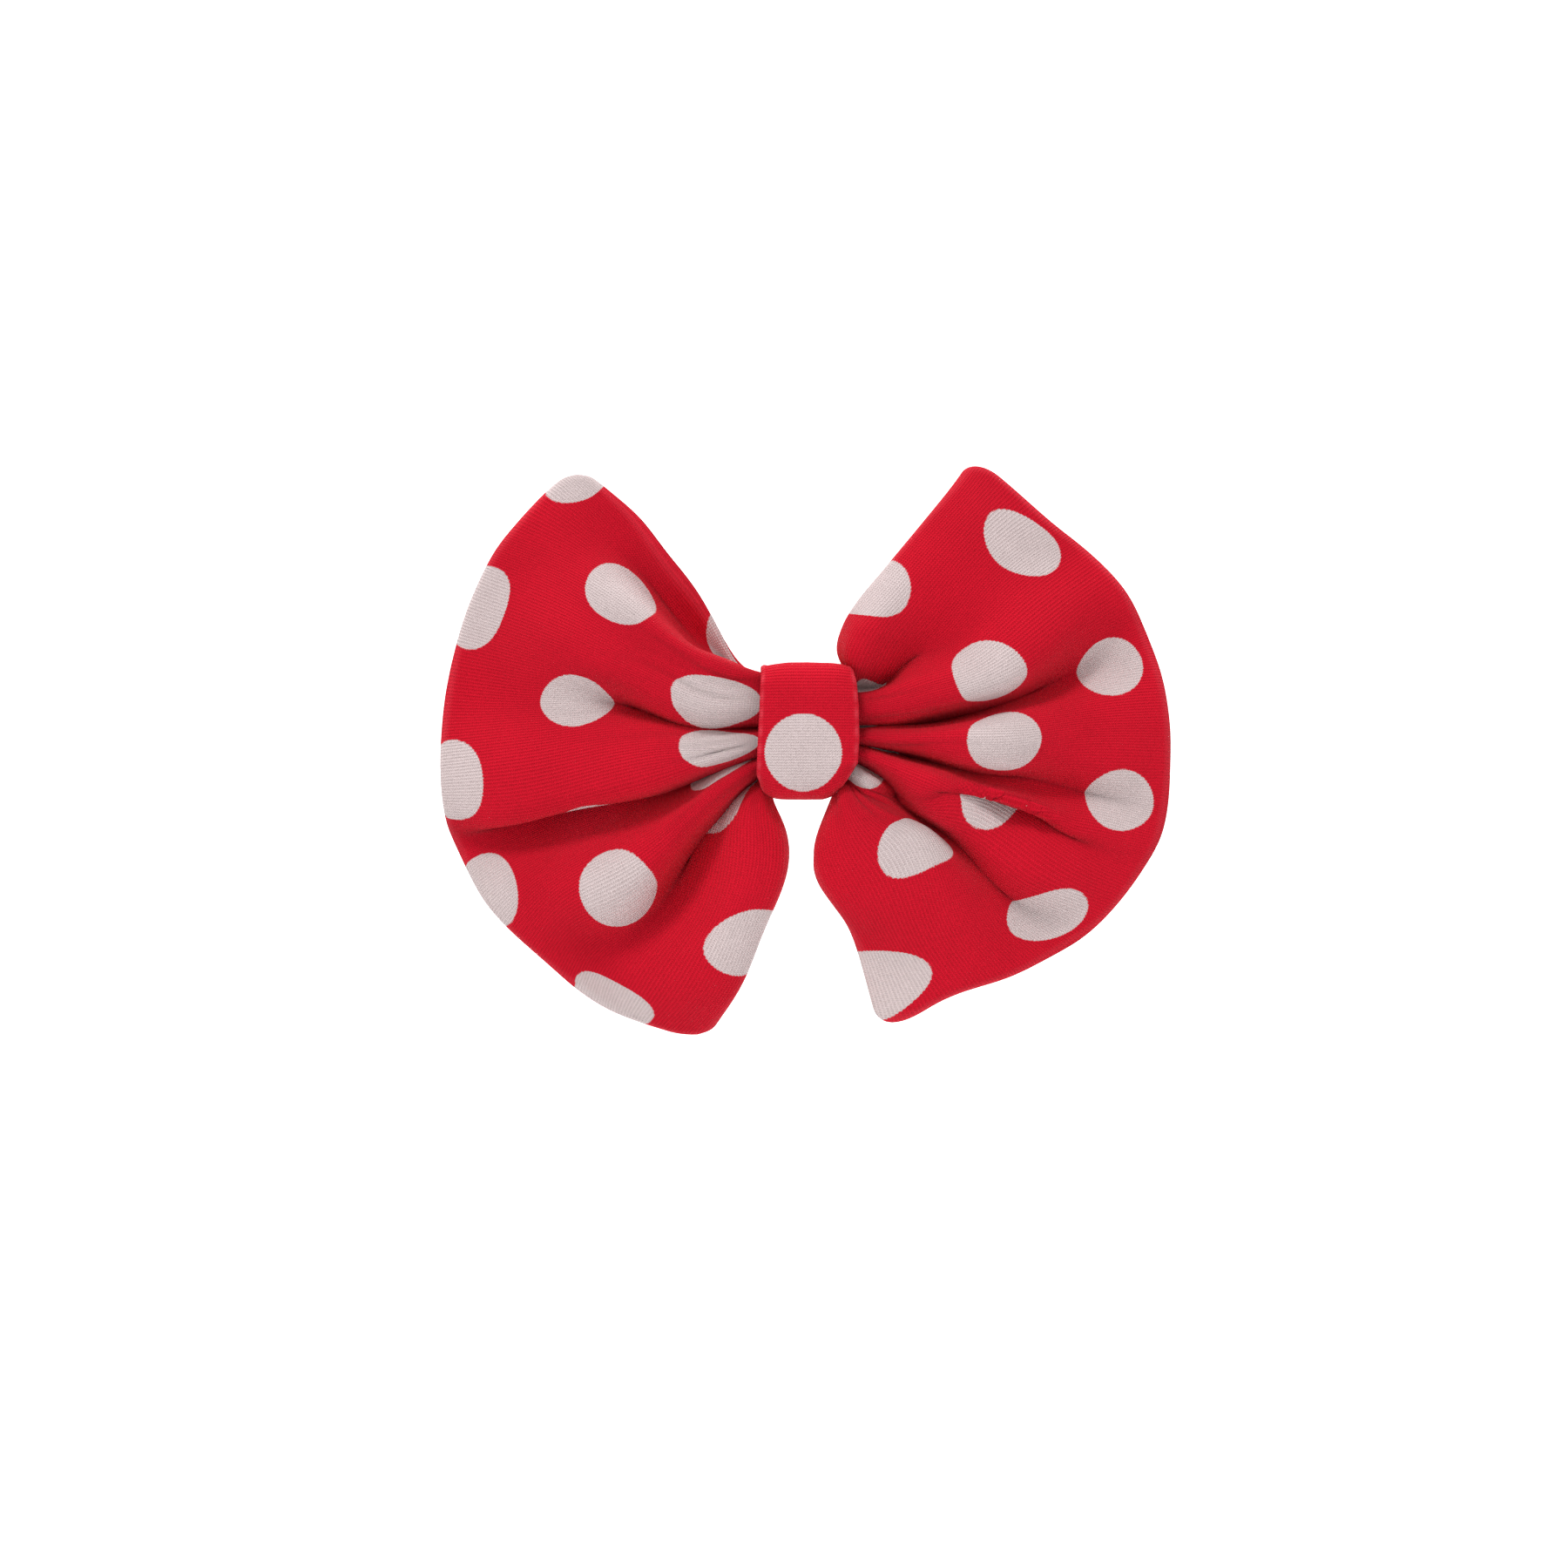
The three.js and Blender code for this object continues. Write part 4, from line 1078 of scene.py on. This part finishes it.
def make_light():
    """A soft white room, brighter overhead, a key from the upper left, and two weaker lights."""
    world = bpy.data.worlds.new("soft_room")
    world.use_nodes = True
    tree = world.node_tree
    place = tree.nodes.new("ShaderNodeTexCoord")
    split = tree.nodes.new("ShaderNodeSeparateXYZ")
    rise = tree.nodes.new("ShaderNodeMapRange")
    rise.inputs["From Min"].default_value = -0.1
    rise.inputs["To Min"].default_value = ROOM_LOW
    rise.inputs["To Max"].default_value = ROOM_HIGH
    tree.links.new(place.outputs["Generated"], split.inputs[0])
    tree.links.new(split.outputs["Z"], rise.inputs["Value"])
    tree.links.new(rise.outputs[0], tree.nodes["Background"].inputs["Strength"])
    tree.nodes["Background"].inputs["Color"].default_value = (1, 1, 1, 1)
    bpy.context.scene.world = world
    area_light("key", (-0.30, -0.55, 0.95), (0, 0, 0), 0.26, 5.6)
    area_light("fill", (0.5, -1.0, 0.3), (0, 0, 0), 0.8, 0.3)
    area_light("sweep_wash", (0, 0.5, 2.2), (0, 1.9, 0.3), 1.6, 26.0)


LENS, SENSOR = 85.0, 36.0
SEEN_WIDTH = 245.5  # across the picture, in the plane through the wings
WING_PLANE = -9.0
CAMERA_X, CAMERA_Z = -3.6, -8.2


def make_camera():
    """A level camera square to the bow's front."""
    data = bpy.data.cameras.new("camera")
    data.lens, data.sensor_width = LENS, SENSOR
    data.clip_start, data.clip_end = 0.01, 20.0
    made = bpy.data.objects.new("camera", data)
    away = WING_PLANE - SEEN_WIDTH * LENS / SENSOR
    made.location = (CAMERA_X * MM, away * MM, CAMERA_Z * MM)
    made.rotation_euler = (math.pi / 2, 0, 0)
    bpy.context.scene.collection.objects.link(made)
    bpy.context.scene.camera = made
    bpy.context.scene.view_settings.view_transform = "Standard"
    bpy.context.scene.view_settings.look = "None"


# ---------------------------------------------------------------- the whole

make_camera()
make_light()
make_stage()

jersey = dotted_jersey()
felt = interlining_felt()
thread = sewing_thread()
nickel = nickel_plate()
wire = spring_wire()

front_cloth, back_cloth = make_panels(jersey)
lining = make_interlining(felt)
band = make_band(jersey)
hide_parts("front_panel")
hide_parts("back_panel")
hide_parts("interlining")
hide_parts("knot_band")
for piece in (front_cloth, back_cloth, lining, band):
    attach(piece, "bow")

seam = make_edge_seam(thread)
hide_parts("edge_seam_thread")
band_seam = make_band_seam(thread)
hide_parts("band_seam_thread")
gather = make_gather_thread(thread)
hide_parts("gather_thread")
for piece in (seam, band_seam, gather):
    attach(piece, "bow")

for node, body in (("clip_leaf", "bow"), ("clip_jaw", "jaw"), ("clip_pin", "bow")):
    piece = softened(node + "_plated", node, nickel)
    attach(piece, body)

pin = np.array(frame["record"]["behaviour"]["joints"][0]["pos_m"]) / MM
spring = make_spring(wire, pin)
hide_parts("clip_spring")
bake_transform(spring)
